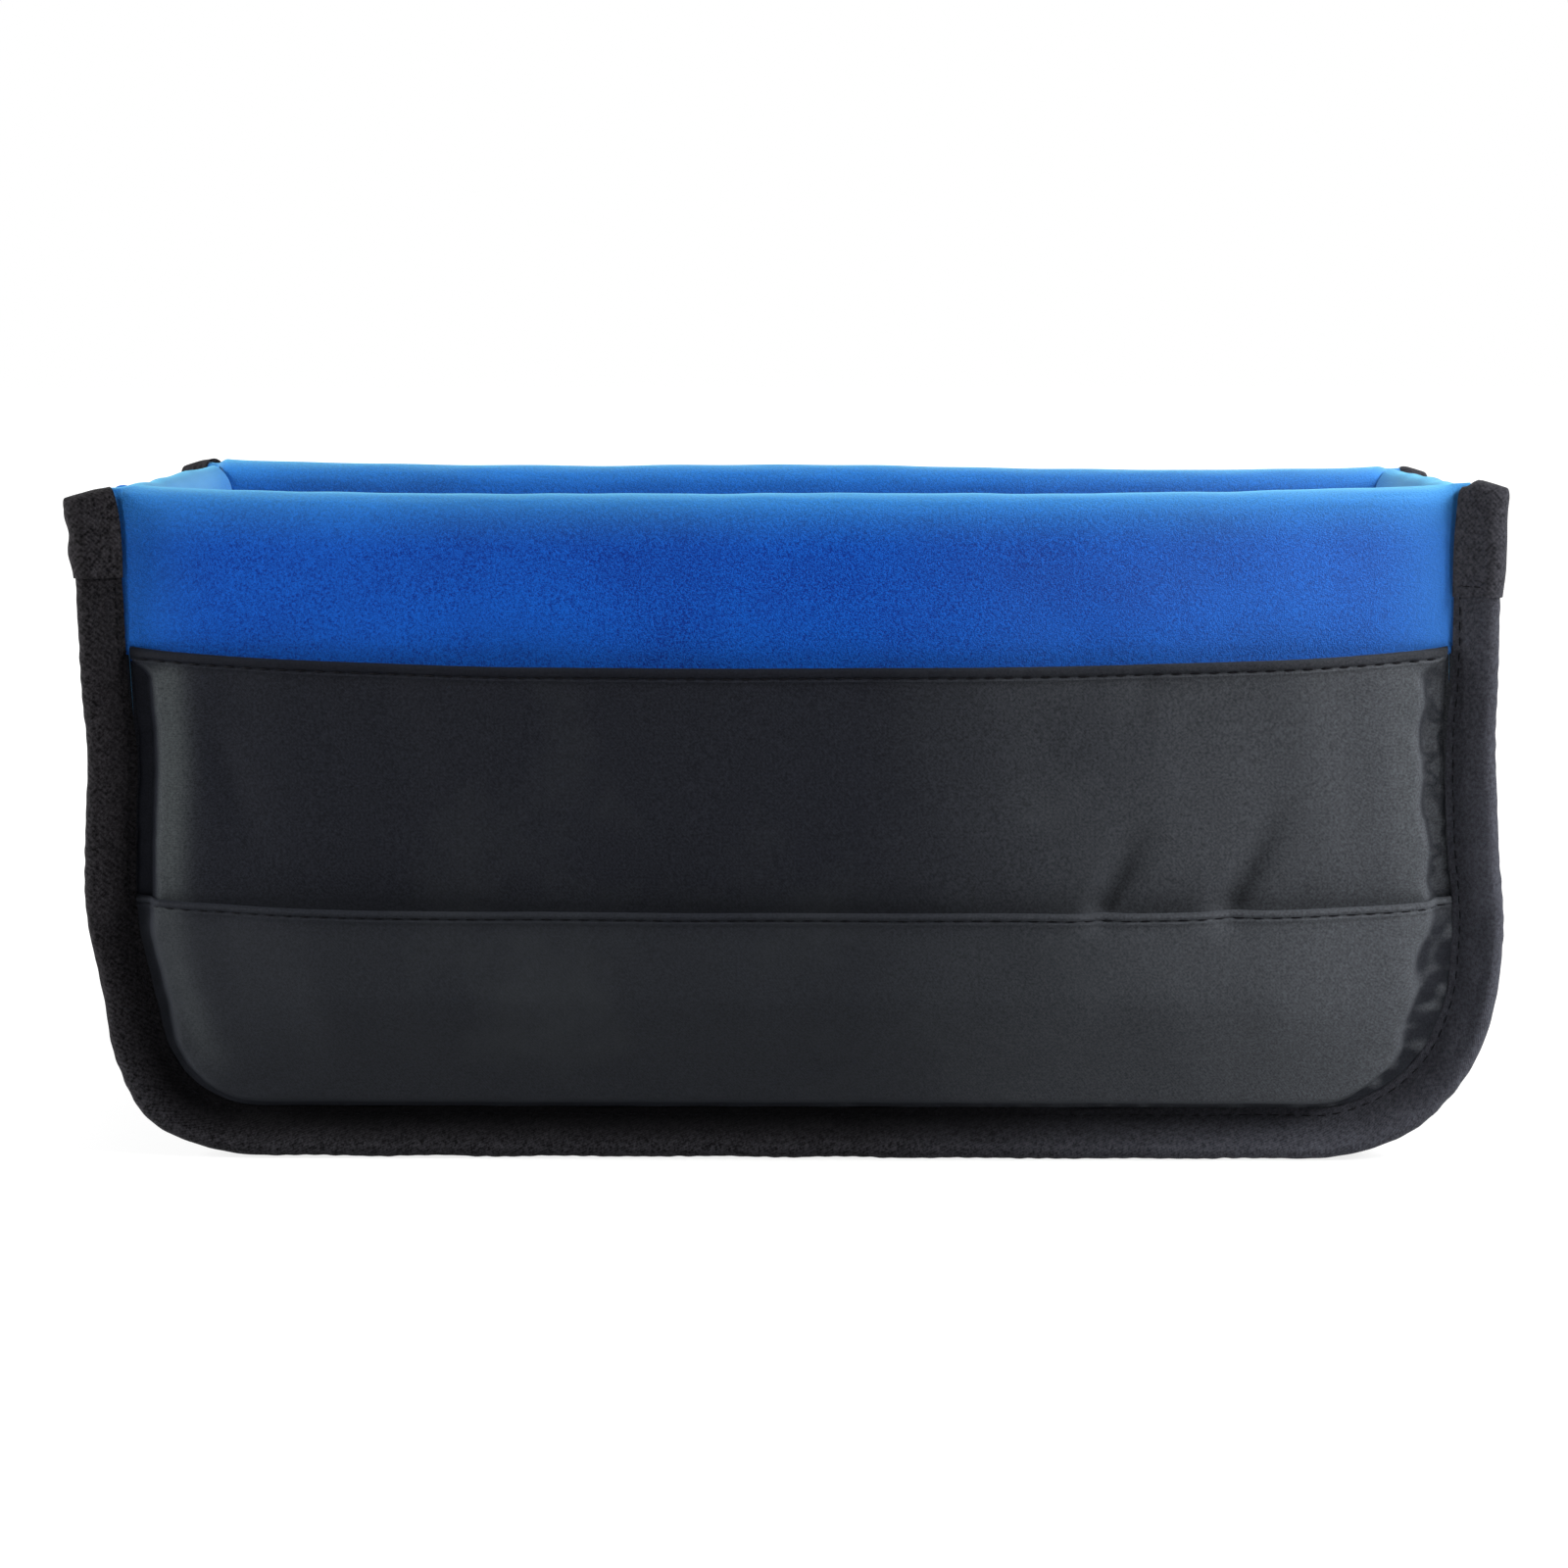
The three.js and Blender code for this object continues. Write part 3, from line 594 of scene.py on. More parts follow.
def seam_distance(x, z):
    """How far inside the seam a wall's point lies, up to the corner's radius: the radius less
    the distance to the corner arc's centre, or to the straight line that continues it."""
    past = np.clip(np.abs(x) - STRAIGHT_HALF, 0, None)
    below = np.clip(CORNER_HEIGHT - z, 0, None)
    return CORNER_RADIUS - np.hypot(past, below)


def under_band(z):
    """1 on the nylon and 0 on the fleece band above it, in a smooth step."""
    return smooth((BAND_LIMIT - z) / BAND_STEP)


def full_pillow(z):
    """How far the padding stands out away from the seams: EDGE_PLUMP further low down."""
    return EDGE_PILLOW + EDGE_PLUMP * smooth((PLUMP_FROM - z) / PLUMP_OVER)


def edge_pillow(x, z):
    """How far the padding pushes a wall's face out. It starts at the tape along the fleece band.
    Lower down it leaves a hollow beside the tape, wide up both sides and scalloped at the
    right. Below the lower pocket's hem it is wider at the right and narrower at the left. From
    there it rises as a quarter wave to a ridge, and is plumper at the foot."""
    low = under_band(z)
    foot = smooth((FOOT_FROM - z) / FOOT_STEP)
    upright = low * (0.3 + 0.7 * smooth((z - 12) / 24))
    left = upright * smooth((-x - HOLLOW_FROM) / HOLLOW_STEP)
    right = upright * smooth((x - HOLLOW_FROM) / HOLLOW_STEP)
    covered = smooth((LOWER_COVER - z) / COVER_STEP)
    scallops = (1 + SCALLOP * ripple(0 * x, z, SCALLOP_LENGTH, SCALLOP_SEED, 4)) * (1 + 0.65 * covered)
    hollow = VALLEY + VALLEY_FOOT * foot + VALLEY_LEFT * left * (1 - 0.3 * covered)
    hollow = hollow + VALLEY_RIGHT * right * scallops
    roll = ROLL + foot + (ROLL_LEFT * left + ROLL_RIGHT * right) * (1 - 0.5 * foot)
    past = (seam_distance(x, z) + BAND_REACH * (1 - low) - hollow) / roll
    height = full_pillow(z) + FOOT_PLUMP * foot + RIDGE * (left + right)
    return height * np.sin(math.pi / 2 * np.clip(past, 0, 1))


def hollow_shade_ridge_highlight(x, z):
    """How much shade is painted on the nylon: 1 in the hollow beside the tape, less on its
    puckers at the right, which so get painted highlights, and 0 where the padding is at its
    full height, down to -1, a painted highlight, along the ridge next to the hollow at the
    left, and less far at the right."""
    side = smooth((np.abs(x) - RIDGE_FROM) / RIDGE_STEP) * np.where(x < 0, 1, RIDGE_RIGHT)
    side = side * (0.35 + 0.65 * smooth((z - 44) / 20))
    ridge_highlight = np.exp(-(((seam_distance(x, z) - RIDGE_PLACE) / RIDGE_WIDTH) ** 2)) * side
    puckers = 0.9 * np.clip(ripple(x, z, 5, 33), 0, 1) * smooth(x / 10)
    hollow = 1 - np.clip(edge_pillow(x, z) / full_pillow(z), 0, 1)
    return under_band(z) * (hollow * (1 - puckers) - ridge_highlight)


def hem_line(x, height, sag):
    """Height of a pocket's top edge: lowest in its middle, as 1 - u^2.5."""
    return height - sag * (1 - (np.abs(x) / SEAM_HALF) ** 2.5)


def flange_point(along, across):
    """A point of the seam's section measured on its flange, which leans FLANGE_TILT away from
    the box: out in the wall's plane, and fore along Y away from the box."""
    tilt_cos, tilt_sin = math.cos(FLANGE_TILT), math.sin(FLANGE_TILT)
    return along * tilt_cos - across * tilt_sin, along * tilt_sin + across * tilt_cos


def swept_round_seam(out, fore, end, path):
    """A grid of points round the seam from a section given as arrays of out and fore."""
    x, z, nx, nz = (values[:, None] for values in path[:4])
    return point_grid(x + nx * out, end * (SEAM_Y + fore), z + nz * out)


def flange_strip(end, top, across, thick):
    """The layer of a wall or skin that runs out into the binding, as a closed strip."""
    path = seam_path(260, top)
    along = np.linspace(FLANGE_START, FLANGE_REACH, 8)
    return closed_sheet(*(
        swept_round_seam(*flange_point(along, across + side * thick / 2), end, path)
        for side in (1, -1)
    ))


def flange_rise(x):
    """How far forward the outer layer of the flange lies at x: it leans by FLANGE_TILT past the
    seam, and starts with a smooth step of FLANGE."""
    past = np.clip(np.abs(x) - SEAM_HALF + PANEL_INSET, 0, None)
    return past * math.tan(FLANGE_TILT) + FLANGE * smooth(past / FLANGE_STEP)


def wall_fleece(end):
    """Columns across the wall, each running up the outside, over the rim as a half circle and
    down the inside. The outer band is crowned, bows out by BOW_EASE less than the foam does
    and dips to the seam at its edges, where its last columns turn forward under the tape."""
    x, base = wall_columns(PANEL_INSET, FLEECE_PITCH)
    tucked = SEAM_HALF + TUCKED_COLUMNS
    x = np.concatenate([-tucked, x, tucked[::-1]])[:, None]
    base = np.pad(base, len(tucked), constant_values=HEM_EDGE - TUCKED_BELOW)[:, None]
    held = smooth((np.abs(x) - SEAM_HALF + HELD_FROM) / HELD_STEP)
    fold = rim_crest(x) - FOLD_RADIUS - np.where(x < 0, *END_TUCK[end]) * held
    hem = hem_line(x, HEM_EDGE, HEM_SAG) - BAND_OVERLAP
    below = np.linspace(0, 1, 8)[:-1]
    band = np.linspace(0, 1, int(BAND_RUN / FLEECE_PITCH))[:-1]
    turn = np.linspace(0, math.pi, FOLD_STEPS)
    inside = np.linspace(1, 0, int(INSIDE_RUN / FLEECE_PITCH))[1:]
    straight = [base + (hem - base) * below, hem + (fold - hem) * band]
    height = np.concatenate([*straight, np.broadcast_to(fold, (len(x), FOLD_STEPS)),
                             base + (fold - base) * inside], 1)
    angle = np.concatenate([np.zeros(len(below) + len(band)), turn,
                            np.full(len(inside), math.pi)])
    over_band = np.clip((height - hem) / (fold - hem), 0, 1)
    outer_share = (1 + np.cos(angle)) / 2
    near_end = 1 - np.clip((SEAM_HALF - np.abs(x)) / END_ROUND, 0, 1)
    full = np.sqrt(1 - near_end**2)
    crown = BAND_PILLOW * np.sin(math.pi * over_band) * outer_share
    faces = []
    for radius in (FOLD_RADIUS, FOLD_RADIUS - FLEECE):
        rounded = radius - (FOLD_RADIUS - PINCHED) * (1 - full)
        z = height + radius * np.sin(angle)
        inwards = FOLD_RADIUS - radius + rounded * (1 - np.cos(angle))
        uneven = 0.16 * ripple(x, z + 400 * outer_share, 22, 3 + end)
        shown = outer_share * smooth((z - 80) / 12)
        padded = (edge_pillow(x, z) - BOW_EASE * bulge(x, z)) * shown
        padded = np.maximum(padded, flange_rise(x) * (0.7 + 0.3 * outer_share))
        y = SEAM_Y - inwards + bulge(x, z) + padded + crown + uneven
        z = z + 0.14 * ripple(x, 0 * z, 19, 8 + end) * smooth((z - 100) / 30)
        faces.append(point_grid(x, end * y, z))
    return closed_sheet(*faces)


BINDING_TOP = 1000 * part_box("front_binding")[1].z
WALLS = (("front", -1), ("rear", 1))

for wall, end in WALLS:
    strip = flange_strip(end, BINDING_TOP, *FLEECE_FLANGE)
    lining = make_piece(f"{wall}_fleece", [wall_fleece(end), strip], fleece_material,
                        "fleece", stands_for=f"{wall}_lining")

# The gusset's fleece: one strip that lines the right end, the base and the left end, and is
# folded over both end rims down to the nylon's hem outside. Its edges are sewn into the
# two bound seams together with the long walls.

GUSSET_PITCH = 1.5
END_HEM = 100.0
BAND_FOOT = END_HEM + GAP
INSIDE_HALF = GUSSET_HALF + 0.9
RIM_REACH = 43.8
REAR_TUCK = 1.0
REAR_TUCK_FROM = 16.0
REAR_TUCK_STEP = 26.0


def gusset_fleece():
    """Rows from the foot of one end's outer band over its rim, down inside, round the corner,
    across the base and back up, each from seam to seam along Y. The caps hold both rims down
    a little behind, at the left by REAR_TUCK."""
    turn = np.linspace(0, math.pi, FOLD_STEPS)
    band = np.linspace(0, 1, 20)[:-1]
    inside = np.linspace(1, 0, 60)[1:]
    count = len(band) + len(turn) + len(inside)
    share = np.concatenate([band, np.ones(FOLD_STEPS), inside])[:, None]
    angle = np.concatenate([0 * band, turn, np.full(len(inside), math.pi)])[:, None]
    below = (np.arange(count) >= len(band) + len(turn))[:, None]
    half = INSIDE_HALF + (RIM_REACH - INSIDE_HALF) * (1 + np.cos(angle)) / 2
    across = np.linspace(-1, 1, int(2 * GUSSET_HALF / GUSSET_PITCH))
    y = half * across
    pinch = np.clip((np.abs(y) - GUSSET_HALF) / (ROOT_HALF - GUSSET_HALF), 0, 1)
    full = np.sqrt(1 - pinch**2)
    foot = np.where(below, CORNER_HEIGHT, BAND_FOOT)
    tuck = REAR_TUCK * smooth((y - REAR_TUCK_FROM) / REAR_TUCK_STEP) * share
    mid_y = INSIDE_HALF * across
    round_x, round_z, nx, nz, _ = (v[:, None] for v in seam_path(220, CORNER_HEIGHT))
    faces = []
    for radius in (FOLD_RADIUS, FOLD_RADIUS - FLEECE):
        rounded = radius - (FOLD_RADIUS - PINCHED) * (1 - full)
        z = foot + (end_rim(y) - foot) * share + radius * np.sin(angle)
        out = FOLD_CENTRE + radius - rounded * (1 - np.cos(angle))
        out = out + 0.16 * ripple(y, z + 300 * below, 24, 21)
        z = z + 0.2 * ripple(y, 0 * z, 17, 22) * smooth((z - 110) / 20)
        x = SEAM_HALF + END_PUFF * roundness(y) + out
        left, right = point_grid(-x, y, z - tuck), point_grid(x, y, z)
        mid_out = puff(nz) * roundness(mid_y) + FOLD_CENTRE - radius
        middle = point_grid(round_x + nx * mid_out, mid_y, round_z + nz * mid_out)
        faces.append(np.concatenate([left[:-1], middle, right[:-1][::-1]]))
    return closed_sheet(*faces)


lining = make_piece("gusset_fleece", [gusset_fleece()], fleece_material, "fleece",
                    stands_for="gusset_lining")

# The nylon outside: a plain-woven, satin-finished charcoal cloth. One piece skins the back
# and one the ends and base, both hemmed with a line of stitches at the top.

NYLON_WEFT = linear(14, 16, 21)
NYLON_WARP = linear(34, 36, 43)
# This colour pales rubbed patches and, as a painted sheen, all below the lower pocket's hem; the next
# two are painted light at the right end, then painted shade, then a painted highlight on the ridge
# beside the hollow
NYLON_RUB_AND_SHEEN = linear(52, 55, 58)
NYLON_RIGHT_LIT_DARK = linear(56, 58, 61)
NYLON_RIGHT_LIT_PALE = linear(86, 89, 94)
NYLON_PAINTED_SHADE = linear(9, 11, 19)
NYLON_RIDGE_HIGHLIGHT = linear(92, 98, 98)
SEWING_DARK = linear(4, 4, 6)
SEWING_LIGHT = linear(24, 24, 28)
THREAD_PITCH = 0.55
STITCH_PITCH = 3.6
STITCH_LENGTH = 2.7
STITCH_RADIUS = 0.19
HEM_STITCH = 2.0
HEM_TURN = 3.3
HEM_ROUND = 0.8
SWELL_BELOW = 1.1
SWELL_STEP = 0.7
GROOVE_DEPTH = 0.45
GROOVE_WIDTH = 0.32
SKIN_HEM_THICKNESS = 1.2
SKIN_PITCH = 1.6
SKIN_FLANGE = (0.93, 0.36)
SKIN_SLACK = 0.5

# The heights in metres by which the nylon changes, at the lower and the upper pocket's hem,
# how many blobs of noise come to the metre, and which of its range the colours span
LOWER_CHANGE = (0.046, 0.056)
UPPER_CHANGE = (0.0945, 0.0965)
NYLON_SLUBS = 2100.0
NYLON_TONES = (0.34, 0.66)
NYLON_PATCHES = 30.0
NYLON_RUBBED = (0.52, 0.8)
SEWING_TWIST = 3500.0
SEWING_TONES = (0.3, 0.7)

# How far below a hem's edge its rows of points lie, closer at the stitches and at the edge
HEM_ROWS = np.array([HEM_TURN, 2.9, 2.6, 2.3, 2.0, 1.8, 1.6, 1.4, 1.2, 0.9, 0.6, 0.3, 0.1, 0])

# The gusset's own: its rows from hem to hem, which put the second at the stitches, how far
# out it starts beside a seam, up to which sine its columns are evenly spaced, and its hem
GUSSET_ROWS = 215
GUSSET_ROOT = 0.15
EVEN_UP_TO = 0.4
END_HEM_WIDTH = 3.0
END_HEM_STEP = 0.6
END_HEM_SWELL = 0.35
END_GROOVE_DEPTH = 0.25
END_GROOVE_WIDTH = 0.5


def plain_weave(along, down, pitch):
    """Threads that cross at each half pitch: the product of two sine waves, from -1 to 1."""
    rate = 2 * math.pi / pitch
    return along.math("SINE", along * rate) * down.math("SINE", down * rate)


def nylon_surface(wires):
    """Plain weave pressed flat by the finish, with uneven threads and faint rubbed patches that
    are paler and duller. All of it below the lower pocket's hem is paler and duller too, a
    painted sheen. Painted light makes the right end paler. The lay's third number marks where
    shade is painted, the upper hems and the hollow beside the tape, as 1, and the ridge next to
    it, which gets a painted highlight, as -1. At the upper right the painted shade lies only on
    the hollow's edge, and its floor gets the right end's painted light too."""
    place = object_place(wires)
    apart = lay_place(wires).split()
    shade_mark = ramp(apart.also("Z"), 0.0, 1.0)
    ridge_highlight = ramp(0 - apart.also("Z"), 0.0, 1.0)
    weave = plain_weave(apart, apart.also("Y"), THREAD_PITCH)
    slubs = noise(wires, place, NYLON_SLUBS, 3.0, 0.75)
    right_light = right_end_painted_light(wires, place)
    height = place.split().also("Z")
    low = 1 - ramp(height, *LOWER_CHANGE)
    patches = ramp(noise(wires, place, NYLON_PATCHES, 4.0, 0.6), *NYLON_RUBBED)
    # Paler and duller below the lower pocket's hem: painted sheen, over rubbed patches
    rubbed_and_sheen = patches * 0.35 + low * 0.28
    tone = ramp(weave * 0.05 + slubs, *NYLON_TONES)
    colour = mixed(rubbed_and_sheen, mixed(tone, NYLON_WEFT, NYLON_WARP), NYLON_RUB_AND_SHEEN)
    # Painted light at the right end
    colour = mixed(right_light * 0.7, colour, mixed(tone, NYLON_RIGHT_LIT_DARK, NYLON_RIGHT_LIT_PALE))
    # Painted highlight along the ridge beside the hollow
    colour = mixed(ridge_highlight * (tone * 0.25 + 0.2), colour, NYLON_RIDGE_HIGHLIGHT)
    # Painted shade on the upper hems and in the hollow beside the tape, at the upper right only on the
    # hollow's edge
    lit = right_light * (1 - low) * (1 - ramp(height, *UPPER_CHANGE))
    painted_shade = shade_mark * (right_light * low * 0.3 + 0.5) * (1 - lit) + shade_mark * (1 - shade_mark) * lit * 2.2
    colour = mixed(painted_shade, colour, NYLON_PAINTED_SHADE)
    rough = rubbed_and_sheen * 0.2 + slubs * 0.12 + 0.62
    return {"Base Color": colour, "Roughness": rough}, weave * 0.000003 + slubs * 0.00003


nylon_material = make_material("nylon", {"Specular IOR Level": 0.07}, nylon_surface)


def thread_surface(wires):
    """Twisted sewing thread, near-black, with the fine unevenness of its twist."""
    tone = ramp(noise(wires, object_place(wires), SEWING_TWIST, 1.0), *SEWING_TONES)
    return {"Base Color": mixed(tone, SEWING_DARK, SEWING_LIGHT)}, tone * 0.00004


thread_constants = {"Roughness": 0.7, "Specular IOR Level": 0.06}
thread_material = make_material("sewing_thread", thread_constants, thread_surface)


def stitches(line, way, pitch=STITCH_PITCH, length=STITCH_LENGTH, radius=STITCH_RADIUS):
    """A lockstitch along a line of points: every pitch a small bowed capsule, six-sided, that
    rises as a half sine wave from 1.1 radii below the cloth to 1.1 above it. Way is the
    cloth's outward direction. The thread's looks need no lay, so its points stand for it."""
    gone = np.concatenate([[0], np.cumsum(np.linalg.norm(np.diff(line, axis=0), axis=1))])
    starts = np.arange(pitch / 2, gone[-1] - length, pitch)
    rings, sides = 7, 6
    u = np.linspace(0, 1, rings)
    at = starts[:, None] + length * u
    centre = np.stack([np.interp(at, gone, line[:, k]) for k in range(3)], -1)
    lift = np.stack([np.interp(at, gone, way[:, k]) for k in range(3)], -1)
    lift = lift / np.linalg.norm(lift, axis=-1, keepdims=True)
    centre = centre + lift * (radius * (2.2 * np.sin(math.pi * u) - 1.1))[:, None]
    ahead = np.gradient(centre, axis=1)
    ahead = ahead / np.linalg.norm(ahead, axis=-1, keepdims=True)
    beside = np.cross(ahead, lift)
    turn = np.linspace(0, 2 * math.pi, sides, endpoint=False)
    size = radius * np.sqrt(np.clip(1 - (2 * u - 1) ** 4, 0.01, 1))[:, None, None]
    beside, lift, centre = (values[..., None, :] for values in (beside, lift, centre))
    ring = np.cos(turn)[:, None] * beside + np.sin(turn)[:, None] * lift
    points = (centre + size * ring).reshape(-1, 3)
    k = np.arange(rings - 1)[:, None] * sides
    j = np.arange(sides)
    cell = np.stack(np.broadcast_arrays(
        k + j, k + (j + 1) % sides, k + sides + (j + 1) % sides, k + sides + j), -1).reshape(-1, 4)
    caps = []
    for first in (0, (rings - 1) * sides):
        ring_numbers = first + np.arange(sides)
        step = 1 if first else -1
        caps.append(ring_numbers[[0, 1, 2, 3]][::step])
        caps.append(ring_numbers[[0, 3, 4, 5]][::step])
    cell = np.concatenate([cell, caps])
    each = np.arange(len(starts))[:, None, None] * rings * sides
    cells = (cell + each).reshape(-1, 4)
    return points, cells, points


def panel(end, edge_height, edge_sag, stand, thick_edge, pitch=SKIN_PITCH, hem_shade=1.0,
          stitch=HEM_STITCH):
    """A cloth panel on the outside of a wall, from the seam to its top edge, turned in there as
    a thicker rounded hem. It bows out by BOW_EASE less than the foam does. Stand works out how
    far it stands off the padding, wrinkles included. The argument after pitch is how much shade
    is painted on its hem; below the hem the hollow beside the tape gets painted shade and the
    ridge next to it a painted highlight. Also returns the stitch line along the hem and the way
    out of the cloth."""
    x, base = (values[:, None] for values in wall_columns(PANEL_INSET, pitch))
    top = hem_line(x, edge_height, edge_sag)
    hem = top - HEM_TURN
    body = np.linspace(0, 1, int(edge_height / pitch * 0.92))[:-1]
    z = np.concatenate([base + (hem - base) * body, top - HEM_ROWS], 1)
    below_top = HEM_TURN - np.clip(z - hem, 0, HEM_TURN)
    roll = np.sqrt(np.clip(1 - np.clip(1 - below_top / HEM_ROUND, 0, 1) ** 2, 0, 1))
    swell = (thick_edge - NYLON) * smooth((stitch + SWELL_BELOW - below_top) / SWELL_STEP) * roll
    groove = GROOVE_DEPTH * np.exp(-(((below_top - stitch) / GROOVE_WIDTH) ** 2))
    inner = SEAM_Y + (1 - BOW_EASE) * bulge(x, z) + edge_pillow(x, z) + stand(x, z)
    faces = []
    for thickness in (NYLON * (0.35 + 0.65 * roll) + swell - groove, 0):
        faces.append(point_grid(x, end * (inner + thickness), z))
    line = faces[0][:, len(body) + np.argmin(np.abs(HEM_ROWS - stitch))]
    way = np.tile([0.0, end, 0.0], (len(line), 1))
    points, cells, lay = closed_sheet(*faces)
    # The lay's third number: painted shade on the hem above its stitches, and below them painted shade
    # in the hollow beside the tape and a painted highlight on the ridge
    shade_mark = np.where(below_top < stitch - 0.1, hem_shade, hollow_shade_ridge_highlight(x, z))
    lay[:, 2] = np.tile(shade_mark.ravel(), 2)
    return (points, cells, lay), line[3:-3], way[3:-3]


def rear_stand(x, z):
    """The rear nylon lies slack on the padding: long soft swells, and short puckers that run
    in from the seam, where the binding gathers it."""
    near = np.exp(-seam_distance(x, z) / 7)
    swells = 0.35 * ripple(x, z * 0.6, 60, 41) + 0.15 * ripple(x, z * 0.5, 24, 42)
    puckers = 0.35 * ripple(0 * x, z, 7.5, 43) * near
    return GAP + SKIN_SLACK + swells * (1 - near) + puckers


sheet_part, line, way = panel(1, HEM_EDGE, HEM_SAG, rear_stand, SKIN_HEM_THICKNESS)
strip = flange_strip(1, HEM_EDGE, *SKIN_FLANGE)
rear_skin = make_piece("rear_nylon", [sheet_part, strip], nylon_material, "nylon",
                       stands_for="rear_skin")
rear_stitches = make_piece("rear_hem_stitches", [stitches(line, way)], thread_material, "nylon")


def moved_sideways(a, b, push):
    """A grid whose rows are a section's lines (a, b), moved by push square to the way that they
    run: to (a + push b'/s, b - push a'/s), where s is the length of (a', b')."""
    ahead_a, ahead_b = np.gradient(a, axis=1), np.gradient(b, axis=1)
    size = np.hypot(ahead_a, ahead_b)
    return a + push * ahead_b / size, b - push * ahead_a / size


def gusset_nylon():
    """A sheet swept round the seam from hem to hem. Its section runs out of the front binding,
    bows out across the depth and runs into the rear binding."""
    x, z, nx, nz, gone = (values[:, None] for values in seam_path(GUSSET_ROWS, END_HEM))
    across = np.sin(np.linspace(-math.pi / 2, math.pi / 2, 64))
    curved = ROOT_HALF - FLAT_HALF
    even = across / EVEN_UP_TO * (FLAT_HALF + EVEN_UP_TO * curved)
    closer = np.sign(across) * FLAT_HALF + curved * across
    y_mid = np.where(np.abs(across) < EVEN_UP_TO, even, closer)
    wave = 0.3 * ripple(y_mid, gone, 40, 51) + 0.12 * ripple(y_mid, gone, 12, 52)
    out_mid = GUSSET_ROOT + (puff(nz) - NYLON / 2 - GUSSET_ROOT + wave) * roundness(y_mid)
    edge_out, edge_fore = flange_point(np.linspace(1.0, FLANGE_REACH, 7), -FLANGE_MIDDLE)
    flange_out = np.tile(edge_out, (len(x), 1))
    line_out = np.concatenate([flange_out[:, ::-1], out_mid, flange_out], 1)
    flange_y = SEAM_Y + edge_fore
    line_y = np.tile(np.concatenate([-flange_y[::-1], y_mid, flange_y]), (len(x), 1))
    near_top = np.minimum(gone, gone[-1] - gone)
    hem = END_HEM_SWELL * smooth((END_HEM_WIDTH - near_top) / END_HEM_STEP)
    groove = END_GROOVE_DEPTH * np.exp(-(((near_top - HEM_STITCH) / END_GROOVE_WIDTH) ** 2))
    faces = []
    for push in (NYLON / 2 + (hem - groove) * roundness(line_y), -NYLON / 2):
        out, y = moved_sideways(line_out, line_y, push)
        faces.append(point_grid(x + nx * out, y, z + nz * out))
    seams = []
    for row in (1, -2):
        stitch_line = faces[0][row, 10:-10]
        outwards = np.tile([nx[row, 0], 0, nz[row, 0]], (len(stitch_line), 1))
        seams.append(stitches(stitch_line, outwards))
    return closed_sheet(*faces), seams


sheet_part, seams = gusset_nylon()
gusset_skin = make_piece("gusset_nylon", [sheet_part], nylon_material, "nylon",
                         stands_for="gusset_skin")
gusset_stitches = make_piece("gusset_hem_stitches", seams, thread_material, "nylon")

# The two slip pockets: the same nylon, sewn in at the sides and bottom. The upper one covers
# the front up to the fleece band, and the lower one lies over it. Each has a turned hem
# with one line of stitches.

POCKET_SLACK = 5.0
SLACK_HEIGHT = 26.0
POCKET_EASE = 0.2
POCKET_PUCKER = 0.35
POCKET_HEM_THICKNESS = 1.25
POCKET_PITCH = 1.0
LOWER_EDGE = 52.3
LOWER_SAG = 0.9
LOWER_STITCH = 1.4
LOWER_STITCH_RADIUS = 0.133

# Each crease: its foot and head across and up, how wide and how high it is
CREASES = [
    (60, 50, 70, 67, 3.2, -2.0), (84, 50, 96, 71, 3.6, -2.2), (70, 98, 65, 80, 4.0, -0.9),
    (-113, 86, -101, 56, 4.0, -0.8), (52, 14, 58, 60, 7.0, 1.0), (98, 18, 92, 50, 6.0, 0.7),
    (-88, 16, -94, 50, 6.0, 0.7), (20, 96, 10, 60, 8.0, -0.7),
]


def pocket_slack(x, z):
    """How far a pocket stands off what is behind it: nothing at the seam, as 1 - u⁶ across
    and a smooth step up."""
    rise = smooth((z - seam_height(x)) / SLACK_HEIGHT)
    return POCKET_SLACK * (1 - (np.abs(x) / SEAM_HALF) ** 6) * rise


def creases(x, z):
    """Soft dents and swells of the used pockets: each a bell curve of the distance from a line
    between two points, fading in at its foot and out towards its head."""
    total = 0
    for foot_x, foot_z, head_x, head_z, wide, high in CREASES:
        run_x, run_z = head_x - foot_x, head_z - foot_z
        length = math.hypot(run_x, run_z)
        along = ((x - foot_x) * run_x + (z - foot_z) * run_z) / length**2
        off = ((x - foot_x) * run_z - (z - foot_z) * run_x) / length
        fade = smooth((along + 0.2) / 0.35) * (1 - smooth((along - 0.35) / 0.85))
        total = total + high * np.exp(-((off / wide) ** 2)) * fade
    return total


def pocket_wrinkles(x, z, seed):
    """Wrinkles of a slack pocket: tall soft folds leaning a little, its creases, and short
    puckers where the binding gathers the cloth."""
    near = np.exp(-seam_distance(x, z) / 6)
    lean = x + 0.25 * (z - 60)
    folds = 0.8 * ripple(lean, z * 0.35, 48, seed) + 0.2 * ripple(lean, z * 0.3, 19, seed + 1)
    puckers = POCKET_PUCKER * ripple(0 * x, z + 0.4 * np.abs(x), 7, seed + 2) * near
    return POCKET_EASE + (folds + creases(x, z)) * (1 - near) + puckers


def upper_stand(x, z):
    """The upper pocket stands off the padding by its slack and its wrinkles."""
    return GAP + pocket_slack(x, z) + pocket_wrinkles(x, z, 61)


def lower_stand(x, z):
    """The lower pocket stands off the upper one's smooth shape in the same way."""
    return 2 * (GAP + pocket_slack(x, z)) + NYLON + pocket_wrinkles(x, z, 71)


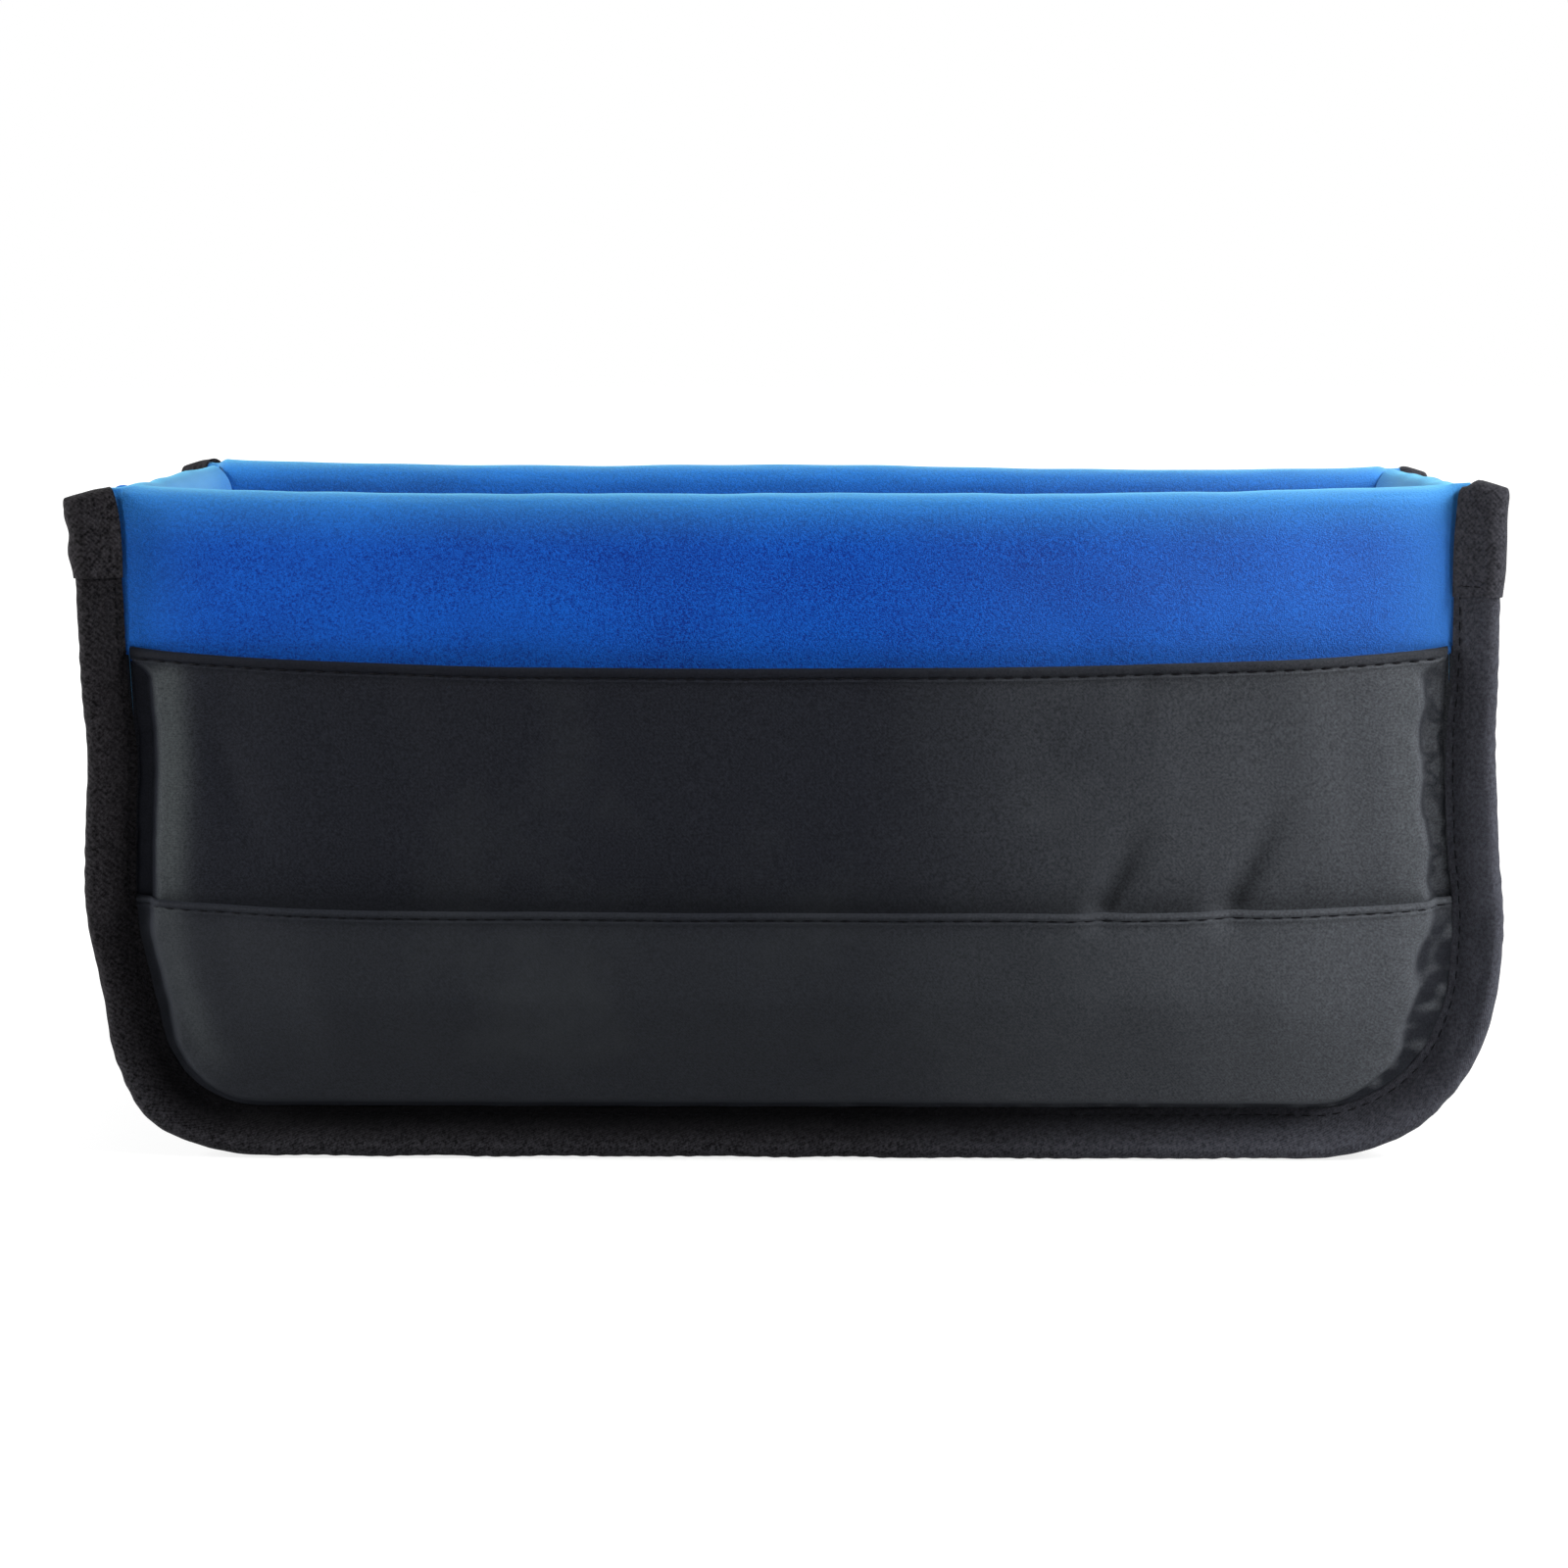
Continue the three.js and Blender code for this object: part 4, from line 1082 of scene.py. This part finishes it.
# The fifth number of each is how much shade is painted on its hem
pockets = [
    ("front_upper_pocket", HEM_EDGE, HEM_SAG, upper_stand, 1.0, HEM_STITCH, STITCH_RADIUS,
     "front_fleece"),
    ("front_lower_pocket", LOWER_EDGE, LOWER_SAG, lower_stand, 0.0, LOWER_STITCH,
     LOWER_STITCH_RADIUS, "upper_pocket_nylon"),
]
for node, height, sag, stand, hem_shade, stitch, stitch_radius, behind in pockets:
    name = node.replace("front_", "")
    sheet_part, line, way = panel(-1, height, sag, stand, POCKET_HEM_THICKNESS, POCKET_PITCH,
                                  hem_shade, stitch)
    strip = flange_strip(-1, height, *SKIN_FLANGE)
    pocket = make_piece(f"{name}_nylon", [sheet_part, strip], nylon_material, "nylon",
                        stands_for=node)
    row = stitches(line, way, radius=stitch_radius)
    seam = make_piece(f"{name}_hem_stitches", [row], thread_material, "nylon")

# The bindings: black twill tape folded over each seam's flange from the left top, under the
# base, to the right top, and sewn through. The tape's folded edge wanders a little.

TAPE_DARK = linear(5, 5, 6)
TAPE_LIGHT = linear(48, 46, 49)
# The next two colours are painted light at the right end, the second also towards the fold at the
# foot; the third is painted shade beside the panels
TAPE_RIGHT_LIT_DARK = linear(52, 52, 58)
TAPE_LIT_PALE = linear(79, 81, 90)
TAPE_PAINTED_SHADE = linear(6, 6, 8)
TAPE_FOLD = 10.0
# Painted highlight within this span from the fold, in millimetres
TAPE_FOLD_HIGHLIGHT = (6.5, 2.0)
TAPE_FOOT = (0.012, 0.03)
# Heights in metres up the side over the corner that get more painted light at the right end
TAPE_CORNER_LIGHT = (0.055, 0.095)
TAPE_FUZZ = 1500.0
TAPE_TONES = (0.34, 0.7)
TWILL_PITCH = 1.15
TAPE_LIP = 0.8
TAPE_OPEN = 0.9
TAPE_OPEN_FROM = 74.0
TAPE_OPEN_STEP = 22.0
TAPE_STITCH = 1.6
TAPE_PRESS = 0.3
TAPE_PRESS_WIDTH = 0.5

# Stitches that hold the tape: how often they come, how long and how thick they are
TAPE_STITCHES = (3.0, 2.2, 0.13)


def tape_surface(wires):
    """Twill: diagonal ribs every TWILL_PITCH along the lay, broken by the crossing threads. A
    painted highlight pales it towards its fold at the foot, and painted shade makes it deep black
    beside the panels, most at the foot. Painted light makes its right end paler, most up the
    side over the corner."""
    apart = lay_place(wires).split()
    down = apart.also("Y")
    place = object_place(wires)
    rate = 2 * math.pi / TWILL_PITCH
    fuzz = noise(wires, place, TAPE_FUZZ, 3.0, 0.7)
    ribs = apart.math("SINE", (apart * 0.8 + down + fuzz * 0.5) * rate)
    threads = apart.math("SINE", (apart - down) * (rate * 1.7))
    height = ribs * 0.7 + threads * 0.3
    tone = ramp(height * 0.05 + fuzz, *TAPE_TONES)
    rise = place.split().also("Z")
    foot = 1 - ramp(rise, *TAPE_FOOT)
    # Painted light at the right end, most up the side over the corner
    corner_light = (1 - foot) * (1 - ramp(rise, *TAPE_CORNER_LIGHT))
    right_lit = mixed(tone + corner_light * 0.25, TAPE_RIGHT_LIT_DARK, TAPE_LIT_PALE)
    right_light = right_end_painted_light(wires, place)
    colour = mixed(right_light * 0.7, mixed(tone, TAPE_DARK, TAPE_LIGHT), right_lit)
    # Painted highlight towards the fold at the foot, and painted shade beside the panels
    outer = ramp(apart.math("ABSOLUTE", apart - TAPE_FOLD), *TAPE_FOLD_HIGHLIGHT)
    colour = mixed(outer * foot * tone * 0.15, colour, TAPE_LIT_PALE)
    shade_mark = (1 - outer) * (foot * 0.45 + 0.35) * (1 - right_light * 0.5)
    colour = mixed(shade_mark, colour, TAPE_PAINTED_SHADE)
    return {"Base Color": colour}, height * 0.00003 + fuzz * 0.00014


tape_constants = {"Roughness": 0.9, "Specular IOR Level": 0.04, "Sheen Weight": 0.05}
tape_material = make_material("twill_tape", tape_constants, tape_surface)


def folded_section(lip, reach, middle, legs, turns):
    """The section of a tape folded in half, along the flange and across it: a leg of some
    points from the lip out to the reach, a half circle of radius middle and a leg back."""
    leg = lip + (reach - lip) * np.linspace(0, 1, legs)
    turn = np.linspace(0, math.pi, turns + 2)[1:-1]
    along = np.concatenate([leg, reach + middle * np.sin(turn), leg[..., ::-1]], -1)
    across = np.concatenate([np.full(legs, middle), middle * np.cos(turn), np.full(legs, -middle)])
    return along, np.broadcast_to(across, along.shape)


def binding(end):
    """The folded tape's section swept round the seam. Its reach and the lie of its legs vary
    along the way. Its stitches press it in, and its lips start further out near the tops."""
    path = seam_path(620, BINDING_TOP)
    gone = path[4][:, None]
    uneven = 0.2 * ripple(gone, 0, 24, 81 + end) + 0.1 * ripple(gone, 0, 3.2, 83 + end)
    reach = TAPE_REACH - TAPE / 2 - TAPE_MIDDLE + uneven
    top = smooth((path[1] - TAPE_OPEN_FROM) / TAPE_OPEN_STEP)[:, None]
    lip = TAPE_LIP + TAPE_OPEN * top + 0.15 * ripple(gone, 0, 11, 85 + end)
    along, across = folded_section(lip, reach, TAPE_MIDDLE, 12, 9)
    wave = 0.16 * ripple(along, gone, 9, 87 + end) + 0.1 * ripple(along, gone, 3.5, 88 + end)
    press = TAPE_PRESS * np.exp(-(((along - lip - TAPE_STITCH) / TAPE_PRESS_WIDTH) ** 2))
    legs = np.abs(across) > 0.8 * TAPE_MIDDLE
    across = across + np.sign(across) * (wave + 0.1 - press) * legs
    faces = []
    for push in (-TAPE / 2, TAPE / 2):
        section = flange_point(*moved_sideways(along, across, push))
        faces.append(swept_round_seam(*section, end, path))
    seam_parts = []
    for column in (2, -3):
        line, lift = faces[0][4:-4, column], (faces[0] - faces[1])[4:-4, column]
        seam_parts.append(stitches(line, lift, *TAPE_STITCHES))
    return closed_sheet(*faces), seam_parts


for wall, end in WALLS:
    sheet_part, seam_parts = binding(end)
    tape = make_piece(f"{wall}_tape", [sheet_part], tape_material, "binding_tape",
                      stands_for=f"{wall}_binding")
    seam = make_piece(f"{wall}_tape_stitches", seam_parts, thread_material, "binding_tape")

# The caps: a short piece of plain-woven tape folded over the top of each binding, down both
# of its faces, and tacked at its foot with a few stitches.

CAP_LIP = 1.9
CAP_FEET = {("front", "left"): 115.0, ("front", "right"): 111.2,
            ("rear", "left"): 112.8, ("rear", "right"): 113.6}
CAP_TOPS = {("front", "left"): 132.5, ("front", "right"): 134.2,
            ("rear", "left"): 132.6, ("rear", "right"): 133.1}
CAP_HEIGHT = 20.0
CAP_SLOPE = 2.3
CAP_SHOULDERS = {-1: 0.3, 1: 2.2}
CAP_FOLD = 1.9
CAP_WANDER = 0.3
CAP_UNEVEN = 0.12
CAP_PRESS = 0.65
CAP_PRESS_HEIGHT = 7.0
CAP_WEAVE = 1.0
CAP_FUZZ = 1300.0
CAP_TONES = (0.3, 0.72)
CAP_STITCHES = (2.2, 1.7, 0.12)
HANDS = (("left", -1), ("right", 1))


def cap_surface(wires):
    """Plain weave of thick threads, paler towards the right end with painted light."""
    apart = lay_place(wires).split()
    place = object_place(wires)
    fuzz = noise(wires, place, CAP_FUZZ, 2.0, 0.6)
    weave = plain_weave(apart + fuzz * 0.3, apart.also("Y"), CAP_WEAVE)
    tone = ramp(weave * 0.06 + fuzz, *CAP_TONES)
    # Painted light at the right end
    right_lit = mixed(tone, TAPE_RIGHT_LIT_DARK, TAPE_LIT_PALE)
    colour = mixed(right_end_painted_light(wires, place) * 0.35, mixed(tone, TAPE_DARK, TAPE_LIGHT), right_lit)
    return {"Base Color": colour}, weave * 0.00003 + fuzz * 0.00016


cap_material = make_material("plain_tape", tape_constants, cap_surface)


def fold_share(along, reach):
    """0 at the cap's sewn edges and 1 at its fold."""
    return smooth((along - reach + 2) / 3)


def cap(side, end, foot, highest):
    """A sleeve with the section of a folded tape, as the binding's but wider. Near its sloping
    top, which drops again at its inner end, the legs draw together and close over as a half
    circle."""
    rise, close = (values[:, None] for values in rise_then_turn(30, 8, math.pi / 2))
    up = CAP_HEIGHT * rise
    middle = (CAP_INNER + CAP_OUTER) / 2
    reach = CAP_REACH - TAPE / 2 - middle
    along, across = folded_section(CAP_LIP, reach, middle, 10, 11)
    folded = fold_share(along, reach)
    wander = CAP_WANDER * ripple(up, 0, 11, 91 + side + 3 * end) * folded
    press = CAP_PRESS * (1 - smooth(up / CAP_PRESS_HEIGHT)) * folded
    outwards = (along - CAP_LIP) / (CAP_REACH - CAP_LIP)
    top = highest - CAP_SLOPE * outwards - CAP_SHOULDERS[side] * (1 - smooth(outwards / 0.36))
    ends = np.cos(close)
    uneven = CAP_UNEVEN * ripple(along, up, 6, 95 + side + 3 * end) * ends
    faces = []
    for offset in (TAPE / 2, -TAPE / 2):
        round_top = CAP_FOLD + offset
        spread = (middle + offset) / middle
        past = np.clip(along - reach, 0, None) * spread + wander - press
        a = np.minimum(along, reach) + past * (0.8 + 0.2 * ends)
        b = across * spread * np.maximum(ends, 0.02) + np.sign(across) * uneven
        z = foot + (top - round_top + offset - foot) * rise + round_top * np.sin(close)
        out, fore = flange_point(a, b)
        faces.append(point_grid(side * (SEAM_HALF + out), end * (SEAM_Y + fore), z))
    tacks = []
    for leg in (slice(1, 9), slice(-9, -1)):
        line, lift = faces[0][3, leg], (faces[0] - faces[1])[3, leg]
        tacks.append(stitches(line, lift, *CAP_STITCHES))
    return closed_sheet(*faces), tacks


for wall, end in WALLS:
    for hand, side in HANDS:
        sheet_part, tacks = cap(side, end, CAP_FEET[wall, hand], CAP_TOPS[wall, hand])
        name = f"{wall}_{hand}"
        cover = make_piece(f"{name}_cap", [sheet_part], cap_material, "cap_tape",
                           stands_for=f"{name}_binding_cap")
        seam = make_piece(f"{name}_cap_stitches", tacks, thread_material, "cap_tape")

# The dividers: a foam sheet in a fleece cover, with a strip of hook tape sewn round each end
# that grips the fleece of the walls. They stand loose and lift straight out.

DIVIDER_PLACE = 44.0
DIVIDER_DROP = 11.0
DIVIDER_FOAM = 5.0
HOOK = 0.8
HOOK_LEG = 8.0
HOOK_BEND = 1.0
HOOK_MARGIN = 2.0
HOOKS_PER_MM = 0.7
HOOK_STITCHES = (3.0, 2.2, 0.2)
CORE_HALF = DIVIDER_FOAM / 2
COVER_INNER = CORE_HALF + GAP
COVER_OUTER = COVER_INNER + FLEECE
HOOK_MIDDLE = COVER_OUTER + GAP + HOOK / 2
DIVIDER_TOP = RIM_HEIGHT - DIVIDER_DROP
DIVIDER_FOOT = 1000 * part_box("left_divider_cover")[0].z
CORE_TOP = DIVIDER_TOP - COVER_OUTER
CORE_FOOT = DIVIDER_FOOT + COVER_OUTER
HOOK_DARK = linear(12, 12, 14)
HOOK_TIP = linear(44, 44, 48)
HOOK_TIPS = (0.05, 0.4)


def hook_surface(wires):
    """Rows of tiny hooks, one every 1.4 mm, that catch the light at their tips."""
    scaled = wires.node("VectorMath", {"operation": "SCALE"},
                        {"Vector": lay_place(wires), "Scale": HOOKS_PER_MM})
    hooks = wires.node("TexVoronoi", {"voronoi_dimensions": "2D"},
                       {"Vector": scaled, "Scale": 1.0, "Randomness": 0.25})
    tips = 1 - ramp(hooks, *HOOK_TIPS)
    return {"Base Color": mixed(tips, HOOK_DARK, HOOK_TIP)}, tips * 0.0004


hook_material = make_material("hook_tape", {"Roughness": 0.7}, hook_surface)


def divider_half(z):
    """Half the length of a divider at a height: it reaches the hook strips on both walls."""
    face = SEAM_Y - WALL + bulge(DIVIDER_PLACE + HOOK_MIDDLE + HOOK / 2, z)
    return face - HOOK - 2 * GAP


def divider_ring(half, steps):
    """An upright section: two straight sides with a half circle over the top and below."""
    rise = np.linspace(CORE_FOOT, CORE_TOP, steps)
    turn = np.linspace(0, math.pi, 13)[1:-1]
    x = np.concatenate([np.full(steps, half), half * np.cos(turn), np.full(steps, -half),
                        -half * np.cos(turn)])
    z = np.concatenate([rise, CORE_TOP + half * np.sin(turn), rise[::-1],
                        CORE_FOOT - half * np.sin(turn)])
    return x, z


def divider_cover(at, seed):
    """A tube of fleece along Y round the foam, a little uneven, closed round its ring."""
    faces = []
    for half in (COVER_OUTER, COVER_INNER):
        x, z = divider_ring(half, 70)
        x, z = np.append(x, x[0]), np.append(z, z[0])
        q = np.linspace(-1, 1, 60)[:, None]
        y = q * divider_half(z)
        swell = 0.12 * ripple(y, z, 18, seed) * (1 - q**8)
        faces.append(point_grid(at + x + np.sign(x) * swell, y, z))
    return closed_sheet(*faces)


def divider_core(at):
    """The foam inside, with rounded top and foot."""
    turn = np.linspace(FOAM_ROUNDING, 0, 6)
    rise = np.linspace(CORE_FOOT, CORE_TOP, 30)[1:-1]
    z = np.concatenate([CORE_FOOT - CORE_HALF * np.sin(turn), rise,
                        CORE_TOP + CORE_HALF * np.sin(turn[::-1])])
    x = np.concatenate([CORE_HALF * np.cos(turn), np.full(len(rise), CORE_HALF),
                        CORE_HALF * np.cos(turn[::-1])])
    y = np.linspace(-1, 1, 30)[:, None] * divider_half(z)
    return closed_sheet(*(point_grid(at + side * x, y, z) for side in (1, -1)))


def hook_strip(at, end):
    """A strip folded round one end of the divider: two legs and a web with round corners."""
    z = np.linspace(DIVIDER_FOOT + HOOK_MARGIN, DIVIDER_TOP - HOOK_MARGIN, 70)[:, None]
    web = divider_half(z) + GAP + HOOK / 2
    leg = np.linspace(0, 1, 7)
    turn = np.linspace(0, math.pi / 2, 6)[1:]
    across = np.concatenate([np.full(7, HOOK_MIDDLE), HOOK_MIDDLE + HOOK_BEND * (np.cos(turn) - 1)])
    ahead = np.concatenate([(leg - 1) * (HOOK_LEG - HOOK_BEND), HOOK_BEND * np.sin(turn)])
    y = web - HOOK_BEND + ahead
    y = np.concatenate([y, y[:, ::-1]], 1)
    x = np.broadcast_to(np.concatenate([across, -across[::-1]]), y.shape)
    faces = []
    for push in (-HOOK / 2, HOOK / 2):
        moved_x, moved_y = moved_sideways(x, y, push)
        faces.append(point_grid(at + moved_x, end * moved_y, z))
    tacks = []
    for column, way in ((1, 1.0), (-2, -1.0)):
        line = faces[1][:, column]
        tacks.append(stitches(line, np.tile([way, 0.0, 0.0], (len(line), 1)), *HOOK_STITCHES))
    return closed_sheet(*faces), tacks


for hand, side in HANDS:
    at, body = side * DIVIDER_PLACE, f"divider_{hand}"
    rides = {"body": body, "loose": True}
    core = make_piece(f"{hand}_divider_pad", [divider_core(at)], foam_material, "foam",
                      stands_for=f"{hand}_divider_core", **rides)
    cover = make_piece(f"{hand}_divider_fleece", [divider_cover(at, 101 + side)],
                       fleece_material, "fleece", stands_for=f"{hand}_divider_cover", **rides)
    for wall, end in WALLS:
        sheet_part, tacks = hook_strip(at, end)
        node = f"{hand}_divider_{wall}_hook_strip"
        strip = make_piece(f"{hand}_divider_{wall}_hooks", [sheet_part], hook_material,
                           "hook_tape", stands_for=node, **rides)
        seam = make_piece(f"{hand}_divider_{wall}_stitches", tacks, thread_material,
                          "hook_tape", **rides)

# The studio: a plain white floor and surroundings, a weak soft light overhead, one at each
# side that falls across the front, the stronger on the right, and one behind. The camera
# stands square to the front, a little to the right and above the rim.

CAMERA_PLACE = (25.8, -674.8 + MIDDLE_Y, 167.2)
CAMERA_TURN = math.radians(1.004)
CAMERA_DIP = math.radians(6.693)
CAMERA_ROLL = math.radians(-0.105)
FOCAL_PIXELS = 3304.9
PICTURE = 1600
CENTRE_PIXEL = (880, 700)
SENSOR = 36.0
FLOOR_HALF = 6.0
FLOOR_COLOUR = (0.8, 0.8, 0.8, 1)
FLOOR_FADE = (0.15, 0.26)
FLOOR_GLOW = 1.25
FLOOR_SHARE = 0.65
SKY_LEVEL = 0.07


def seen_directly(wires):
    """1 on what the camera sees, straight or in a reflection or through glass, or else 0."""
    ray = wires.node("LightPath", {}, {})
    mirrored = ray.math("MAXIMUM", ray.also("Is Glossy Ray"), ray.also("Is Transmission Ray"))
    return ray.math("MAXIMUM", ray, mirrored)


def studio_material(name):
    """Pale cloth that scatters light and, seen by the camera or in a reflection, is lit up to
    white but for the object's shadow: its share of glow grows to 1 away from the object."""
    material = bpy.data.materials.new(name)
    material.use_nodes = True
    tree = material.node_tree
    tree.nodes.clear()
    wires = Thread(tree)
    cloth = wires.node("BsdfDiffuse", {}, {"Color": FLOOR_COLOUR})
    light = wires.node("Emission", {}, {"Color": (1, 1, 1, 1), "Strength": FLOOR_GLOW})
    away = wires.node("VectorMath", {"operation": "LENGTH"}, {0: object_place(wires)}, output=1)
    share = ramp(away, *FLOOR_FADE) * (1 - FLOOR_SHARE) + FLOOR_SHARE
    mix = wires.node("MixShader", {}, {0: seen_directly(wires) * share, 1: cloth, 2: light})
    wires.node("OutputMaterial", {}, {"Surface": mix})
    return material


floor_mesh = bpy.data.meshes.new("floor")
floor_mesh.from_pydata([(-FLOOR_HALF, -FLOOR_HALF, 0), (FLOOR_HALF, -FLOOR_HALF, 0),
                        (FLOOR_HALF, FLOOR_HALF, 0), (-FLOOR_HALF, FLOOR_HALF, 0)],
                       [], [(0, 1, 2, 3)])
floor_mesh.materials.append(studio_material("studio_floor"))
floor = bpy.data.objects.new("floor", floor_mesh)
bpy.context.scene.collection.objects.link(floor)

world = bpy.data.worlds.new("studio")
bpy.context.scene.world = world
world.use_nodes = True
sky = Thread(world.node_tree)
backdrop = next(n for n in sky.tree.nodes if n.type == "BACKGROUND")
backdrop.inputs["Color"].default_value = (1, 1, 1, 1)
sky_strength = seen_directly(sky) * (1 - SKY_LEVEL) + SKY_LEVEL
sky.tree.links.new(sky_strength.socket, backdrop.inputs["Strength"])


def soft_light(name, place, aim, size, power):
    """A rectangular soft box at a place in metres, turned to a point, that the camera doesn't
    see. Its size is in metres and its power in watts."""
    lamp = bpy.data.lights.new(name, "AREA")
    lamp.shape = "RECTANGLE"
    lamp.size, lamp.size_y = size
    lamp.energy = power
    holder = bpy.data.objects.new(name, lamp)
    holder.location = place
    way = Vector(aim) - Vector(place)
    holder.rotation_euler = way.to_track_quat("-Z", "Y").to_euler()
    holder.visible_camera = False
    bpy.context.scene.collection.objects.link(holder)


soft_light("overhead", (0.00, -0.08, 0.80), (0.00, 0, 0.10), (0.7, 0.5), 0.9)
soft_light("right", (0.54, -0.20, 0.38), (0.08, -0.02, 0.07), (0.25, 0.3), 6.0)
soft_light("left", (-0.60, -0.14, 0.22), (-0.10, -0.02, 0.06), (0.15, 0.3), 3.8)
soft_light("back", (0.10, 0.75, 0.45), (0, 0, 0.06), (0.5, 0.3), 2.2)

camera_data = bpy.data.cameras.new("camera")
camera_data.sensor_width = SENSOR
camera_data.lens = SENSOR * FOCAL_PIXELS / PICTURE
camera_data.shift_x = (PICTURE / 2 - CENTRE_PIXEL[0]) / PICTURE
camera_data.shift_y = (CENTRE_PIXEL[1] - PICTURE / 2) / PICTURE
camera = bpy.data.objects.new("camera", camera_data)
camera.location = [value * 0.001 for value in CAMERA_PLACE]
upright = Matrix.Rotation(CAMERA_TURN, 4, "Z")
level = Matrix.Rotation(math.pi / 2 - CAMERA_DIP, 4, "X")
camera.rotation_euler = (upright @ level @ Matrix.Rotation(CAMERA_ROLL, 4, "Z")).to_euler()
bpy.context.scene.collection.objects.link(camera)
bpy.context.scene.camera = camera
bpy.context.scene.view_settings.view_transform = "Standard"
